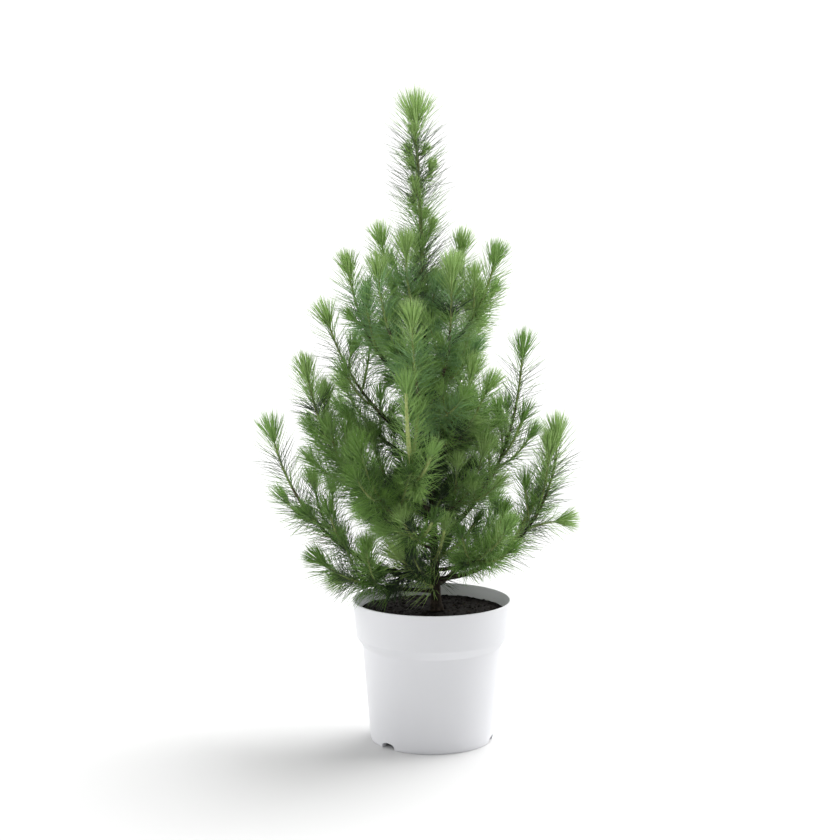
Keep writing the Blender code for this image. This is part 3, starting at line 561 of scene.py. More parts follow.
def round_point(radius, turn, height):
    return Vector((radius * math.cos(turn), radius * math.sin(turn), height))


def outer_radius(height):
    if height >= COLLAR_FOOT_HEIGHT:
        share = (height - COLLAR_FOOT_HEIGHT) / (POT_HEIGHT - COLLAR_FOOT_HEIGHT)
        return COLLAR_FOOT_RADIUS + share * (RIM_RADIUS - COLLAR_FOOT_RADIUS)
    if height >= BODY_TOP_HEIGHT:
        share = (height - BODY_TOP_HEIGHT) / (COLLAR_FOOT_HEIGHT - BODY_TOP_HEIGHT)
        return BODY_TOP_RADIUS + share * (COLLAR_FOOT_RADIUS - BODY_TOP_RADIUS)
    return BODY_FOOT_RADIUS + height / BODY_TOP_HEIGHT * (BODY_TOP_RADIUS - BODY_FOOT_RADIUS)


def inner_radius(height):
    return outer_radius(height) - WALL


def trunk_point(height):
    share = height / TRUNK_HEIGHT
    x = TRUNK_FOOT_X + TRUNK_LEAN * share + TRUNK_BOW * math.sin(math.pi * share)
    y = TRUNK_SWAY * math.sin(math.tau * share)
    return Vector((x, y, SOIL_LEVEL + GAP + height))


def trunk_radius(height):
    share = height / TRUNK_HEIGHT
    taper = TRUNK_FOOT_RADIUS + (TRUNK_TIP_RADIUS - TRUNK_FOOT_RADIUS) * share**TRUNK_TAPER
    return taper + FLARE * math.exp(-height / FLARE_HEIGHT)


def pitched(bearing, pitch):
    level = math.cos(math.radians(pitch))
    turn = math.radians(bearing)
    return Vector((math.cos(turn) * level, math.sin(turn) * level, math.sin(math.radians(pitch))))


def smooth_curve(start, tip, leaving, arriving, steps):
    pull = (tip - start).length * CURVE_TENSION
    points = []
    for step in range(steps + 1):
        t = step / steps
        a = 2 * t**3 - 3 * t**2 + 1
        b = t**3 - 2 * t**2 + t
        c = t**3 - t**2
        points.append(start * a + leaving * (b * pull) + tip * (1 - a) + arriving * (c * pull))
    return points


def curve_length(points):
    return sum((after - before).length for before, after in zip(points, points[1:]))


def along(points, share):
    left = share * curve_length(points)
    for before, after in zip(points, points[1:]):
        step = (after - before).length
        if left <= step or after is points[-1]:
            return before.lerp(after, min(left / step, 1)), (after - before).normalized()
        left -= step


def stretch(points, low, high, piece):
    count = max(2, round(curve_length(points) * (high - low) / piece) + 1)
    return [along(points, low + (high - low) * step / (count - 1))[0] for step in range(count)]


def shoot_curve(shoot):
    start = trunk_point(shoot.foot * MM)
    level = pitched(shoot.bearing, 0)
    tip = start + level * (shoot.reach * MM) + UP * (shoot.rise * MM)
    leaving = pitched(shoot.bearing, shoot.leave)
    arriving = pitched(shoot.bearing, shoot.arrive)
    return smooth_curve(start, tip, leaving, arriving, CURVE_STEPS)


def shoot_radius(points, share):
    root = SHOOT_ROOT_RADIUS + SHOOT_STOUTNESS * curve_length(points)
    return root + (SHOOT_TIP_RADIUS - root) * share


def side_curve(side, parent):
    start, forward = along(parent, side.along)
    tip = start + pitched(side.bearing, 0) * (side.reach * MM) + UP * (side.rise * MM)
    leaving = (forward + (tip - start).normalized()).normalized()
    arriving = (UP * SIDE_LIFT + (tip - start).normalized()).normalized()
    return smooth_curve(start, tip, leaving, arriving, CURVE_STEPS)


def needle_rings(points, low, high):
    length = curve_length(points)
    tuft = TUFT_RINGS * TUFT_SPACING / length
    line = stretch(points, low, high - tuft, NEEDLE_SPACING)
    for ring in range(TUFT_RINGS):
        line.append(along(points, high - tuft + (ring + 1) * TUFT_SPACING / length)[0])
    return line


def twig_curves(shoot, stem):
    rng = random.Random(shoot.name)
    curves = []
    for index in range(shoot.twigs):
        share = TWIG_FIRST + (TWIG_LAST - TWIG_FIRST) * (index + 0.6 * rng.random()) / shoot.twigs
        start, forward = along(stem, share)
        outward = outward_from(forward, index * GOLDEN_TURN + rng.uniform(-0.5, 0.5))
        lean = math.radians(rng.uniform(*TWIG_LEAN))
        leaving = forward * math.cos(lean) + outward * math.sin(lean)
        length = TWIG_LENGTH * (TWIG_TAPER[0] - TWIG_TAPER[1] * share) * rng.uniform(*TWIG_VARIES)
        tip = start + (leaving + UP * TWIG_LIFT).normalized() * length
        arriving = (leaving + UP * 2 * TWIG_LIFT).normalized()
        curves.append(smooth_curve(start, tip, leaving, arriving, TWIG_STEPS))
    return curves


def leader_tufts(name, line):
    rng = random.Random(name)
    curves = []
    for index in range(LEADER_TUFTS):
        share = (index + 0.5 * rng.random()) / LEADER_TUFTS
        start, forward = along(line, share)
        outward = outward_from(forward, (index + 0.5) * GOLDEN_TURN + rng.uniform(-0.3, 0.3))
        length = LEADER_TUFT_LENGTH * rng.uniform(0.7, 1.1)
        tip = start + (outward + forward * LEADER_TUFT_LIFT).normalized() * length
        curves.append(smooth_curve(start, tip, outward, forward, LEADER_TUFT_STEPS))
    return curves


def clear_of_pot(point, radius):
    out = math.hypot(point[0], point[1])
    if point[2] < SOIL_LEVEL + SOIL_LUMP + radius and out < inner_radius(SOIL_LEVEL):
        return False
    if point[2] > POT_HEIGHT + radius + GAP:
        return True
    height = min(max(point[2], 0), POT_HEIGHT)
    return out < inner_radius(height) - radius - MM or out > outer_radius(height) + radius + MM


# ---- the needled stems

# kind: leader, shoot, side, twig, spur or tuft. full: the length of the needles on it.
Stem = namedtuple("Stem", "shoot kind line full")


def add_stem(stems, shoot, kind, line, full):
    """Adds a needled stem, unless it would run into the pot."""
    if all(clear_of_pot(point, STEM_LOOK_TIP) for point in line[1:]):
        stems.append(Stem(shoot, kind, line, full))


def add_spurs(stems, rng):
    """Short spurs on what has grown, round the stem by the golden angle: the finest twigs."""
    for stem in list(stems):
        if stem.kind == "tuft" or stem.shoot in CLEAN:
            continue
        often, low, high, longer, full = LEADER_SPURS if stem.kind == "leader" else SPURS
        count = round(curve_length(stem.line) / MM * often * (high - low))
        turn = rng.uniform(0, math.tau)
        for index in range(count):
            share = low + (high - low) * (index + rng.random()) / max(count, 1)
            start, forward = along(stem.line, share)
            turn += GOLDEN_TURN
            outward = outward_from(forward, turn)
            reach = rng.uniform(*SPUR_LENGTH) * longer
            leaving = (outward + forward * SPUR_LEAN).normalized()
            tip = start + (leaving + UP * SPUR_LIFT[0]).normalized() * reach
            arriving = (leaving + UP * SPUR_LIFT[1]).normalized()
            curve = smooth_curve(start, tip, leaving, arriving, SPUR_STEPS)
            add_stem(stems, stem.shoot, "spur", curve, full)


def add_shoots(stems, curves):
    for shoot in SHOOTS:
        points = curves[shoot.name]
        length = curve_length(points)
        line = stretch(points, shoot.bare * NEEDLED_FROM, 1 - TIP_SHORT / length, STEM_STEP)
        longer = LENGTHS.get(shoot.name, 1.0)
        add_stem(stems, shoot.name, "shoot", line, FULL["shoot"] * longer)
        start = shoot.bare + GAP / length if shoot.bare else 0
        rings = needle_rings(points, start, 1 - NEEDLE_LENGTH / length)
        for curve in twig_curves(shoot, rings):
            add_stem(stems, shoot.name, "twig", curve, FULL["twig"] * longer)
    for number, side in enumerate(SIDES):
        curve = side_curve(side, curves[side.parent])
        line = stretch(curve, 0, 1 - TIP_SHORT / curve_length(curve), STEM_STEP)
        add_stem(stems, f"{side.parent}_side_{number + 1}", "side", line, FULL["side"])


def add_leader(stems):
    for part, low, high in LEADER_PARTS:
        count = round((high - low) * MM / NEEDLE_SPACING)
        line = [trunk_point((low + (high - low) * step / count) * MM) for step in range(count + 1)]
        for curve in leader_tufts("foliage_leader_" + part, line):
            add_stem(stems, "leader", "tuft", curve, FULL["tuft"])
    top = trunk_point(TRUNK_HEIGHT)
    heading = (top - trunk_point(TRUNK_HEIGHT - TRUNK_TIP_PART)).normalized()
    heights = range(LEADER_FOOT, int(TRUNK_HEIGHT / MM), LEADER_STEP)
    line = [trunk_point(height * MM) for height in heights]
    line += [top, top + heading * LEADER_STUB]
    add_stem(stems, "leader", "leader", line, FULL["leader"])


def add_sprigs(stems, rng):
    low, high = TRUNK_SPRIG_ZONE
    for index in range(TRUNK_SPRIGS):
        height = low + (high - low) * (index + rng.random()) / TRUNK_SPRIGS
        start = trunk_point(height)
        leaving = pitched(math.degrees(index * GOLDEN_TURN), rng.uniform(*TRUNK_SPRIG_PITCH))
        if height < TRUNK_BARE_FRONT and leaving.y < 0:
            continue
        length = rng.uniform(*TRUNK_SPRIG_LENGTH)
        tip = start + (leaving + UP * TRUNK_SPRIG_LIFT).normalized() * length
        arriving = (leaving + UP).normalized()
        curve = smooth_curve(start, tip, leaving, arriving, TWIG_STEPS)
        add_stem(stems, "trunk", "twig", curve, FULL["sprig"])


def grow(curves):
    """All the needled stems, on the shoots' curves."""
    stems = []
    rng = random.Random(PLANT_SEED)
    add_shoots(stems, curves)
    add_leader(stems)
    add_spurs(stems, rng)
    add_sprigs(stems, rng)
    return stems


# ---- skins with relief

def tube_faces(rings, sides):
    """The quads between rings of points, and the two ends."""
    faces = []
    for ring in range(rings - 1):
        for side in range(sides):
            low = ring * sides + side
            low_next = ring * sides + (side + 1) % sides
            faces.append((low, low_next, low_next + sides, low + sides))
    faces.append(tuple(reversed(range(sides))))
    faces.append(tuple(range((rings - 1) * sides, rings * sides)))
    return faces


def skin(line, radius_at, sides, relief, seed):
    """A closed tube along a line. radius_at takes a length from its foot; relief moves the skin."""
    verts = []
    first, _ = across((line[1] - line[0]).normalized())
    gone = 0.0
    for index, point in enumerate(line):
        behind = line[max(index - 1, 0)]
        ahead = line[min(index + 1, len(line) - 1)]
        forward = (ahead - behind).normalized()
        first = (first - forward * first.dot(forward)).normalized()
        second = forward.cross(first)
        if index:
            gone += (point - line[index - 1]).length
        radius = radius_at(gone)
        for side in range(sides):
            turn = math.tau * side / sides
            spoke = first * math.cos(turn) + second * math.sin(turn)
            at = (point + spoke * radius) * RELIEF_SCALE + Vector((seed * RELIEF_SHIFT, 0, 0))
            high = radius * (1 + relief(at, turn, gone))
            verts.append(point + spoke * high)
    return verts, tube_faces(len(line), sides)


def join(parts):
    verts = []
    faces = []
    for more_verts, more_faces in parts:
        base = len(verts)
        verts.extend(more_verts)
        faces.extend(tuple(index + base for index in face) for face in more_faces)
    return verts, faces


def bark_relief(at, turn, gone):
    """Upright ridges broken into scales."""
    ridges = noise.noise(Vector((at.x * 0.9, at.y * 0.9, at.z * 0.16)))
    scales = noise.noise(Vector((at.x * 1.6, at.y * 1.6, at.z * 0.7)))
    return 0.16 * ridges + 0.10 * scales


def twig_relief(at, turn, gone):
    """Low cushions where needles have stood."""
    return 0.12 * noise.noise(at * 1.1) + 0.05


def lobed_relief(at, turn, gone):
    """Bark that grows smoother up the trunk, on the lobes of the root flare."""
    foot = FLARE_LOBE_DEPTH * math.cos(FLARE_LOBES * turn) * math.exp(-gone / FLARE_HEIGHT)
    return bark_relief(at, turn, gone) * (1 - 0.5 * gone / TRUNK_HEIGHT) + foot


def make_limbs(curves):
    bark = bark_material("bark_brown", *OLD_BARK)
    young = bark_material("bark_young", *YOUNG_BARK)
    middle = int(TRUNK_HEIGHT * OLD_BARK_SHARE / BARK_STEP)
    top = int(TRUNK_HEIGHT / BARK_STEP)
    lower = [trunk_point(BARK_STEP * step) for step in range(middle + 1)]
    upper = [trunk_point(BARK_STEP * step) for step in range(middle, top + 1)]
    foot = BARK_STEP * middle
    lower_skin = skin(
        lower, lambda gone: trunk_radius(gone) * SKIN_SHARE, TRUNK_SKIN_SIDES, lobed_relief, 1)
    upper_skin = skin(
        upper, lambda gone: trunk_radius(foot + gone) * YOUNG_SKIN_SHARE, YOUNG_SKIN_SIDES, twig_relief, 2)
    new_piece("trunk_bark", *lower_skin, bark, "trunk", slot="bark")
    new_piece("trunk_young_top", *upper_skin, young, "trunk", slot="bark")
    parts = []
    for number, shoot in enumerate(SHOOTS):
        points = curves[shoot.name]
        reach = shoot.bare if shoot.bare else BARK_ON_BARE_SHOOT
        length = curve_length(points)
        parts.append(skin(
            stretch(points, 0, reach + BARK_OVERLAP, BOUGH_BARK_STEP),
            lambda gone, points=points, length=length: shoot_radius(points, gone / length) * SKIN_SHARE,
            BOUGH_SKIN_SIDES, bark_relief, 10 + number))
    new_piece("boughs_bark", *join(parts), bark, *BOUGHS, slot="bark")


def stem_look_radius(from_tip, stem):
    if stem.kind in ("spur", "tuft"):
        return SPUR_LOOK_RADIUS
    stout = PALE_STOUTNESS if stem.shoot in PALE_STEMMED else 1.0
    return min((STEM_LOOK_TIP + STEM_LOOK_GROWTH * from_tip) * stout, STEM_LOOK_MOST)


def stem_look(stem, point, from_tip):
    """Green towards the tips, brown further down, nearly black near the soil."""
    # Pale stems take a colour made lighter as painted light.
    if stem.shoot in PALE_STEMMED and stem.kind != "twig":
        return "pale"
    if stem.kind in ("spur", "tuft") or from_tip < GREEN_STEM_LENGTH:
        return "green"
    return "dark" if point.z < DARK_STEM_BELOW and stem.shoot not in PALE_STEMMED else "brown"


def make_stems(stems):
    parts = {name: [] for name in STEM_LOOKS}
    for number, stem in enumerate(stems):
        if stem.kind == "leader":
            continue
        line = stretch(stem.line, 0, 1, STEM_STEP)
        tips = [curve_length(line[index:]) for index in range(len(line))]
        looks = [stem_look(stem, point, from_tip) for point, from_tip in zip(line, tips)]
        for name, run in groupby(range(len(line)), key=lambda index: looks[index]):
            run = list(run)
            start = max(run[0] - 1, 0)
            if run[-1] > start:
                parts[name].append(skin(
                    line[start:run[-1] + 1],
                    lambda gone: stem_look_radius(max(tips[start] - gone, 0), stem),
                    STEM_SKIN_SIDES, twig_relief, number))
    for name, colours in STEM_LOOKS.items():
        look = bark_material("stems_" + name, *colours)
        new_piece("stems_" + name, *join(parts[name]), look, *MASSES, slot="bark")


# ---- needles

def needle_fields(stem, rng):
    """Roots, headings, forward directions, lengths and lengths from the tip, for one stem."""
    line = np.array([tuple(point) for point in stem.line])
    steps = np.linalg.norm(np.diff(line, axis=0), axis=1)
    marks = np.concatenate([[0], np.cumsum(steps)])
    length = marks[-1]
    fine = FINE_CLOSENESS if stem.kind in ("spur", "tuft", "twig") else 1.0
    close = CLOSENESS.get(stem.shoot, 1.0) * fine
    count = max(4, int(length / MM * NEEDLE_PER_MM * close))
    place = (np.arange(count) + rng.random(count)) / count * length
    buds = BUD_NEEDLES.get(stem.kind, BUD_NEEDLES["shoot"])
    place = np.concatenate([place, length - rng.random(buds) * BUD_LENGTH])

    def at(places):
        return np.stack([np.interp(places, marks, line[:, axis]) for axis in range(3)], axis=1)

    root = at(place)
    forward = at(np.minimum(place + 2 * MM, length)) - at(np.maximum(place - 2 * MM, 0))
    forward /= np.linalg.norm(forward, axis=1)[:, None]
    guide = np.where(np.abs(forward[:, 2:3]) < 0.9, [[0, 0, 1.0]], [[1.0, 0, 0]])
    first = np.cross(guide, forward)
    first /= np.linalg.norm(first, axis=1)[:, None]
    second = np.cross(forward, first)
    turn = np.arange(len(place)) * GOLDEN_TURN + rng.normal(0, NEEDLE_SCATTER, len(place))
    outward = first * np.cos(turn)[:, None] + second * np.sin(turn)[:, None]
    from_tip = length - place
    blend = np.clip(from_tip / NEEDLE_TUFT_ZONE, 0, 1) ** 0.75
    low = NEEDLE_TIP_SPLAY[0] + (NEEDLE_SPLAY[0] - NEEDLE_TIP_SPLAY[0]) * blend
    high = NEEDLE_TIP_SPLAY[1] + (NEEDLE_SPLAY[1] - NEEDLE_TIP_SPLAY[1]) * blend
    if stem.kind == "leader":
        high = high + LEADER_FAN * (1 - blend)
    splay = np.radians(low + (high - low) * rng.random(len(place)))
    heading = forward * np.cos(splay)[:, None] + outward * np.sin(splay)[:, None]
    heading[:, 2] -= NEEDLE_DROOP * (1 - np.abs(forward[:, 2])) * np.sin(splay)
    heading /= np.linalg.norm(heading, axis=1)[:, None]
    size = NEEDLE_LEAST + (NEEDLE_MOST - NEEDLE_LEAST) * np.sqrt(rng.random(len(place)))
    size *= stem.full * (1 - BUD_NEEDLES_SHORTER * np.clip(1 - from_tip / BUD_NEEDLE_ZONE, 0, 1))
    return root, heading, forward, size, from_tip


def keep_out_of_pot(root, heading, size):
    """Shortens a needle that would reach into the pot's wall or the soil, or drops it."""
    size = size.copy()
    for index in range(len(root)):
        if root[index][2] > POT_HEIGHT + POT_REACH:
            continue
        for share in (1.0, 0.8, 0.6):
            reach = size[index] * share
            steps = [root[index] + heading[index] * reach * step for step in (0.4, 0.7, 1.0)]
            if all(clear_of_pot(point, GAP) for point in steps):
                size[index] = reach
                break
        else:
            size[index] = 0
    return size


def needle_mesh(root, heading, forward, size, rng):
    """Three-sided needles, each bent a little along its stem, as arrays of points and faces."""
    count = len(root)
    side = np.cross(heading, forward)
    lost = np.linalg.norm(side, axis=1) < 1e-4
    side[lost] = np.cross(heading[lost], [1.0, 0.3, 0.1])
    side /= np.linalg.norm(side, axis=1)[:, None]
    over = np.cross(side, heading)
    bend = NEEDLE_BEND * rng.normal(0.5, 0.9, count)[:, None] * over
    bend += NEEDLE_SIDE_BEND * rng.normal(0, 1, count)[:, None] * side
    roll = rng.uniform(0, math.tau, count)
    wide = NEEDLE_HALF_WIDTH * rng.uniform(*NEEDLE_WIDTHS, count)
    rings = []
    for share, width in NEEDLE_RINGS:
        centre = root + (heading * share + bend * share**2) * size[:, None]
        for corner in range(3):
            turn = roll + math.tau * corner / 3
            spoke = side * np.cos(turn)[:, None] + over * (np.sin(turn) * NEEDLE_FLAT)[:, None]
            rings.append(centre + spoke * (wide * width)[:, None])
    rings.append(root + (heading + bend) * size[:, None])
    points = np.stack(rings, axis=1).reshape(-1, 3)
    pattern = [(2, 1, 0)]
    for ring in range(len(NEEDLE_RINGS) - 1):
        for corner in range(3):
            low = ring * 3 + corner
            low_next = ring * 3 + (corner + 1) % 3
            pattern += [(low, low_next, low_next + 3), (low, low_next + 3, low + 3)]
    point = NEEDLE_POINTS - 1
    for corner in range(3):
        pattern.append((point - 3 + corner, point - 3 + (corner + 1) % 3, point))
    steps = np.arange(count) * NEEDLE_POINTS
    faces = (np.array(pattern)[None] + steps[:, None, None]).reshape(-1, 3)
    return points, faces


def mixed(mix, chance):
    first, share, second = MIXES[mix]
    return first if chance < share else second


def tint_of(stem, point, from_tip, rng):
    """A spray's tint: fresh at the tips, grey-green on old bare shoots, painted shade low and inside."""
    inward = math.hypot(point[0] - TRUNK_FOOT_X, point[1])
    height = (point[2] - SOIL_LEVEL) / TRUNK_HEIGHT
    fade = np.clip(MIDDLE_FADE[0] - MIDDLE_FADE[1] * height, 0, 1)
    depth = np.clip((MIDDLE_RADIUS - inward) / MIDDLE_RADIUS, 0, 1) * fade
    low = np.clip(1 - height / CROWN_FOOT, 0, 1)
    chance = rng.random()
    if stem.shoot == "leader":
        at_tip = stem.kind != "leader" or from_tip < LEADER_TIP_SPRAY
        return mixed("leader_tip" if at_tip else "leader", chance)
    # The palest tint, own yellow-green made lighter: painted light.
    if stem.shoot in PALEST_LIT:
        return "pale"
    # Shaded shoots and sprigs: painted shade.
    if stem.shoot in SHADED:
        return mixed("shaded", chance)
    if from_tip < TIP_SPRAY and stem.kind in ("shoot", "side"):
        if stem.shoot in DULL_TIPPED:
            return "green"
        # Tips in half shade, duller: painted shade.
        if stem.shoot in HALF_SHADED:
            return mixed("half_shaded_tip", chance)
        return mixed("bluish_tip" if stem.shoot in BLUISH else "tip", chance)
    if chance < DRY_SHARE and from_tip > DRY_FROM_TIP:
        return "dry"
    if stem.shoot in OLD and stem.kind != "twig":
        return mixed("old", chance)
    # More dark sprays inside the crown, low down and on shoots in shade: painted shade.
    dark = DARK_SHARE + DARK_INSIDE * depth + DARK_BELOW * low
    if stem.shoot in IN_SHADE:
        dark += DARK_IN_SHADE
    for shoots, share in DARK_SHARE_OF:
        if stem.shoot in shoots:
            dark *= share
    second_chance = rng.random()
    if chance < dark:
        shaded = second_chance < SHADE_SHARE[0] + SHADE_SHARE[1] * depth
        return "shade" if shaded else "deep"
    for shoots, mix in ((YELLOW, "yellow"), (BLUISH, "bluish"), (HALF_SHADED, "half_shaded"), (LIT_SIDE, "light")):
        if stem.shoot in shoots:
            return mixed(mix, second_chance)
    # More plain green than bright lower down: painted shade.
    green = second_chance < GREEN_SHARE[0] - GREEN_SHARE[1] * height
    return "green" if green else "bright"


def make_needles(stems):
    """Deals every stem's needles out by spray, and joins them tint by tint."""
    rng = np.random.default_rng(PLANT_SEED)
    dealt = {name: [] for name in TINTS}
    for stem in stems:
        root, heading, forward, size, from_tip = needle_fields(stem, rng)
        size = keep_out_of_pot(root, heading, size)
        spray = (from_tip // SPRAY).astype(int)
        for number in np.unique(spray):
            chosen = (spray == number) & (size > 0)
            if chosen.any():
                tint = tint_of(stem, root[chosen].mean(0), float(from_tip[chosen].mean()), rng)
                dealt[tint].append([field[chosen] for field in (root, heading, forward, size)])
    most = MOST_TRIANGLES // NEEDLE_TRIANGLES
    for name, colour in TINTS.items():
        look = needle_material("needles_" + name, colour)
        fields = [np.concatenate(group) for group in zip(*dealt[name])]
        for piece, start in enumerate(range(0, len(fields[0]), most)):
            points, faces = needle_mesh(*(field[start:start + most] for field in fields), rng)
            name_here = f"needles_{name}_{piece + 1}"
            new_piece(name_here, points.tolist(), faces.tolist(), look, *MASSES, slot="needles")


# ---- pot and soil

def rounded(profile, radius, steps=4):
    """Rounds the inner corners of an outline of (r, z)."""
    out = [profile[0]]
    for before, at, after in zip(profile, profile[1:], profile[2:]):
        a = Vector(before) - Vector(at)
        b = Vector(after) - Vector(at)
        cut = min(radius, a.length * 0.45, b.length * 0.45)
        start = Vector(at) + a.normalized() * cut
        end = Vector(at) + b.normalized() * cut
        for step in range(steps + 1):
            t = step / steps
            point = start * (1 - t) ** 2 + Vector(at) * (2 * t * (1 - t)) + end * t**2
            out.append((point.x, point.y))
    out.append(profile[-1])
    return out


def pot_profile():
    """Half the pot's cut face as (r, z): round the foot and up the outside, then down the inside."""
    ring_inner = BODY_FOOT_RADIUS - FOOT_RING_WIDTH
    bevel_in, bevel_out, bevel_height = FOOT_BEVEL
    return [
        (TURNED_CENTRE, 0), (PAD_RADIUS, 0), (PAD_RADIUS + CHANNEL_SLOPE, CHANNEL_DEPTH),
        (ring_inner - CHANNEL_SLOPE, CHANNEL_DEPTH), (ring_inner, 0),
        (BODY_FOOT_RADIUS - bevel_in, 0), (BODY_FOOT_RADIUS + bevel_out, bevel_height),
        (BODY_TOP_RADIUS, BODY_TOP_HEIGHT), (COLLAR_FOOT_RADIUS, COLLAR_FOOT_HEIGHT),
        (RIM_RADIUS, POT_HEIGHT), (inner_radius(POT_HEIGHT), POT_HEIGHT),
        (inner_radius(COLLAR_FOOT_HEIGHT), COLLAR_FOOT_HEIGHT),
        (inner_radius(BODY_TOP_HEIGHT), BODY_TOP_HEIGHT), (inner_radius(FLOOR_TOP), FLOOR_TOP),
        (TURNED_CENTRE, FLOOR_TOP),
    ]


def notch_cutter(turn):
    """An arch through the foot ring, no deeper at its inner end than the channel."""
    outward = round_point(1, turn, 0)
    sideways = Vector((-outward.y, outward.x, 0))
    half = NOTCH_WIDTH / 2
    arch = [(-half, -NOTCH_HEIGHT), (half, -NOTCH_HEIGHT)]
    for step in range(NOTCH_STEPS + 1):
        angle = math.pi * step / NOTCH_STEPS
        rise = NOTCH_UPRIGHT + (1 - NOTCH_UPRIGHT) * math.sin(angle)
        arch.append((half * math.cos(angle), NOTCH_HEIGHT * rise))
    near = outward * (BODY_FOOT_RADIUS - FOOT_RING_WIDTH - 2 * CHANNEL_SLOPE)
    far = outward * (BODY_FOOT_RADIUS + FOOT_RING_WIDTH)
    verts = [near + sideways * x + UP * min(z, CHANNEL_DEPTH) for x, z in arch]
    verts += [far + sideways * x + UP * z for x, z in arch]
    return verts, tube_faces(2, len(arch))


def drain_cutter(turn):
    centre = round_point(DRAIN_CIRCLE, turn, 0)
    line = [centre - UP * CHANNEL_DEPTH, centre + UP * 2 * FLOOR_TOP]
    return skin(line, lambda gone: DRAIN_RADIUS, DRAIN_SIDES, lambda at, turn, gone: 0, 0)


def make_pot():
    profile = rounded(pot_profile(), POT_ROUNDING)
    verts = [
        round_point(radius, math.tau * side / POT_SIDES, height)
        for radius, height in profile for side in range(POT_SIDES)
    ]
    faces = tube_faces(len(profile), POT_SIDES)
    pot = new_piece("pot_body", verts, faces, pot_material(), "pot", slot="pot")
    cutters = [notch_cutter(NOTCH_TURN + math.tau * index / NOTCHES) for index in range(NOTCHES)]
    cutters += [drain_cutter(math.tau * index / DRAINS) for index in range(DRAINS)]
    cutter = new_object("cutter", new_mesh("cutter", *join(cutters)))
    modifier = pot.modifiers.new("cut", "BOOLEAN")
    modifier.operation = "DIFFERENCE"
    modifier.solver = "EXACT"
    modifier.object = cutter
    graph = bpy.context.evaluated_depsgraph_get()
    pot_mesh = bpy.data.meshes.new_from_object(pot.evaluated_get(graph))
    pot.modifiers.clear()
    pot.data = pot_mesh
    bpy.data.objects.remove(cutter, do_unlink=True)
    pot.data.shade_smooth()
    pot.data.set_sharp_from_angle(angle=POT_SHARP)


def soil_height(x, y):
    height = SOIL_LEVEL - SOIL_SUNK
    for close, high, place in SOIL_LUMPS:
        height += high * noise.noise(Vector((x * close, y * close, place)))
    away = math.hypot(x - TRUNK_FOOT_X, y) / SOIL_MOUND_WIDTH
    return height + SOIL_MOUND * math.exp(-(away**2))


def make_soil():
    edge = inner_radius(SOIL_LEVEL) - SOIL_GAP
    verts = [Vector((0, 0, soil_height(0, 0)))]
    for ring in range(1, SOIL_RINGS + 1):
        for side in range(SOIL_SIDES):
            turn = math.tau * (side + 0.5 * (ring % 2)) / SOIL_SIDES
            point = round_point(edge * ring / SOIL_RINGS, turn, 0)
            point.z = soil_height(point.x, point.y)
            verts.append(point)
    foot = inner_radius(SOIL_LEVEL - SOIL_SKIRT) - 2 * SOIL_GAP
    for side in range(SOIL_SIDES):
        verts.append(round_point(foot, math.tau * side / SOIL_SIDES, SOIL_LEVEL - SOIL_SKIRT))
    rings = tube_faces(SOIL_RINGS + 1, SOIL_SIDES)
    faces = [(0, 1 + side, 1 + (side + 1) % SOIL_SIDES) for side in range(SOIL_SIDES)]
    for face in rings[:-2]:
        faces.append(tuple(1 + index for index in (face[0], face[3], face[2], face[1])))
    faces.append(tuple(1 + index for index in reversed(rings[-1])))
    look = soil_material("soil_dark", SOIL_DARK, SOIL_LIGHT)
    new_piece("soil_top", verts, faces, look, "soil", slot="soil")
    for kind in CRUMBS:
        look = soil_material(kind.look, kind.dark, kind.light)
        new_piece(kind.name, *join(scattered_crumbs(kind, edge)), look, slot="soil", smooth=False)


def scattered_crumbs(kind, edge):
    rng = random.Random(kind.seed)
    parts = []
    while len(parts) < kind.count:
        turn = rng.uniform(0, math.tau)
        out = edge * math.sqrt(rng.random()) * CRUMB_SPREAD
        size = rng.uniform(*CRUMB_SIZE) * kind.size
        place = round_point(min(out, edge - size * CRUMB_FROM_EDGE), turn, 0)
        if math.hypot(place.x - TRUNK_FOOT_X, place.y) < CRUMB_FREE:
            continue
        place.z = soil_height(place.x, place.y) + size * CRUMB_LIFT
        parts.append(crumb(place, size, rng))
    return parts


def crumb(centre, size, rng):
    """A ball of few faces, stretched, turned about its upright and made rough."""
    ball = bmesh.new()
    bmesh.ops.create_icosphere(ball, subdivisions=1, radius=1.0)
    stretch_by = [rng.uniform(*limits) for limits in CRUMB_SHAPE]
    spin = rng.uniform(0, math.tau)
    verts = []
    for vert in ball.verts:
        rough = size * rng.uniform(*CRUMB_ROUGHNESS)
        x, y, z = (place * by for place, by in zip(vert.co, stretch_by))
        turned_x = x * math.cos(spin) - y * math.sin(spin)
        turned_y = x * math.sin(spin) + y * math.cos(spin)
        verts.append(centre + Vector((turned_x, turned_y, z)) * rough)
    faces = [tuple(vert.index for vert in face.verts) for face in ball.faces]
    ball.free()
    return verts, faces


# ---- camera, light and floor

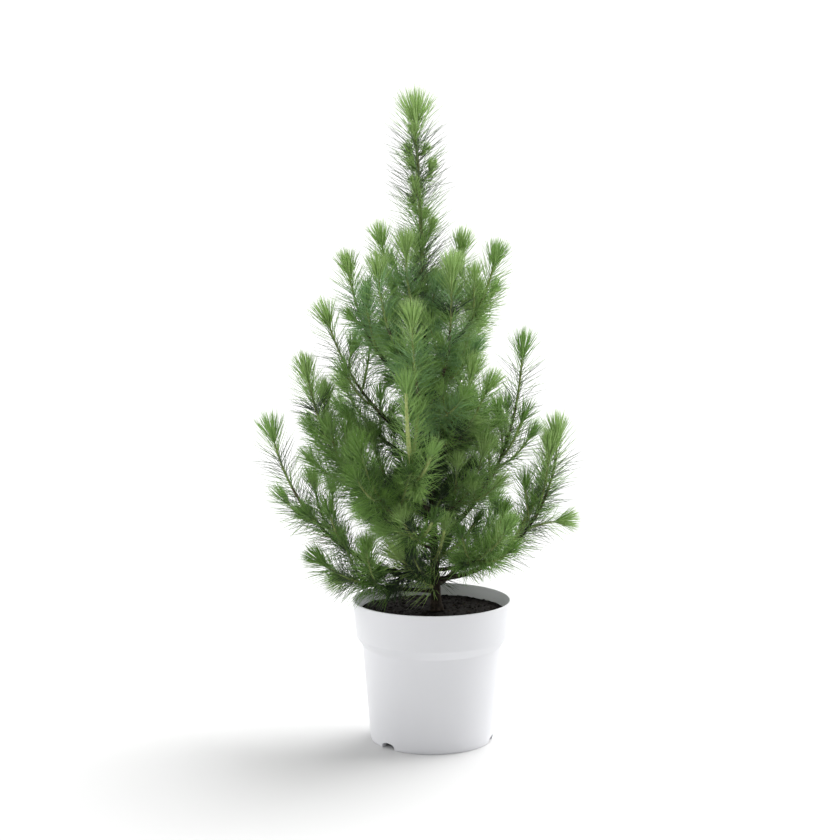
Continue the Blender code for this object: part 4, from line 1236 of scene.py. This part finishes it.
def make_camera():
    camera = bpy.data.cameras.new("camera")
    camera.sensor_width = 36
    camera.lens = CAMERA_LENS
    camera.clip_end = 50
    eye = new_object("camera", camera)
    eye.location = CAMERA_PLACE
    eye.rotation_euler = (math.radians(90 - CAMERA_PITCH), 0, 0)
    bpy.context.scene.camera = eye
    bpy.context.scene.view_settings.view_transform = "Standard"


def make_floor():
    made, tree, shader = shader_of("floor_white")
    white = (FLOOR_WHITE, FLOOR_WHITE, FLOOR_WHITE, 1)
    set_values(shader, {"Base Color": white, "Roughness": 0.9, "Specular IOR Level": 0.0})
    bump(tree, shader, noise_node(tree, 30, 2), 0.02, 0.001)
    verts = [(FLOOR_HALF * x, FLOOR_HALF * y, 0) for x, y in ((-1, -1), (1, -1), (1, 1), (-1, 1))]
    mesh = new_mesh("floor", verts, [(0, 1, 2, 3)])
    mesh.materials.append(made)
    floor = new_object("floor", mesh)


def make_world():
    """White low down behind, dimmer on the camera's side and overhead, as by a lit white backdrop."""
    world = bpy.data.worlds.new("world")
    bpy.context.scene.world = world
    world.use_nodes = True
    tree = world.node_tree
    background = tree.nodes["Background"]
    background.inputs["Color"].default_value = (1, 1, 1, 1)
    coords = tree.nodes.new("ShaderNodeTexCoord")
    split = tree.nodes.new("ShaderNodeSeparateXYZ")
    tree.links.new(coords.outputs["Generated"], split.inputs["Vector"])
    both = tree.nodes.new("ShaderNodeMath")
    both.operation = "MULTIPLY"
    round_about = spread(tree, split.outputs["Y"], WORLD_FRONT, WORLD_BACK, -1.0)
    tree.links.new(round_about, both.inputs[0])
    tree.links.new(spread(tree, split.outputs["Z"], 1.0, WORLD_ZENITH, WORLD_LEVEL), both.inputs[1])
    tree.links.new(both.outputs["Value"], background.inputs["Strength"])


def make_lamps():
    for name, bearing, height, strength, angle in SUNS:
        light = bpy.data.lights.new(name, "SUN")
        light.energy = strength
        light.angle = math.radians(angle)
        lamp = new_object(name, light)
        lamp.rotation_euler = (-pitched(bearing, height)).to_track_quat("-Z", "Y").to_euler()


make_camera()
make_floor()
make_world()
make_lamps()
make_pot()
make_soil()
shoot_curves = {shoot.name: shoot_curve(shoot) for shoot in SHOOTS}
make_limbs(shoot_curves)
plant_stems = grow(shoot_curves)
make_stems(plant_stems)
make_needles(plant_stems)
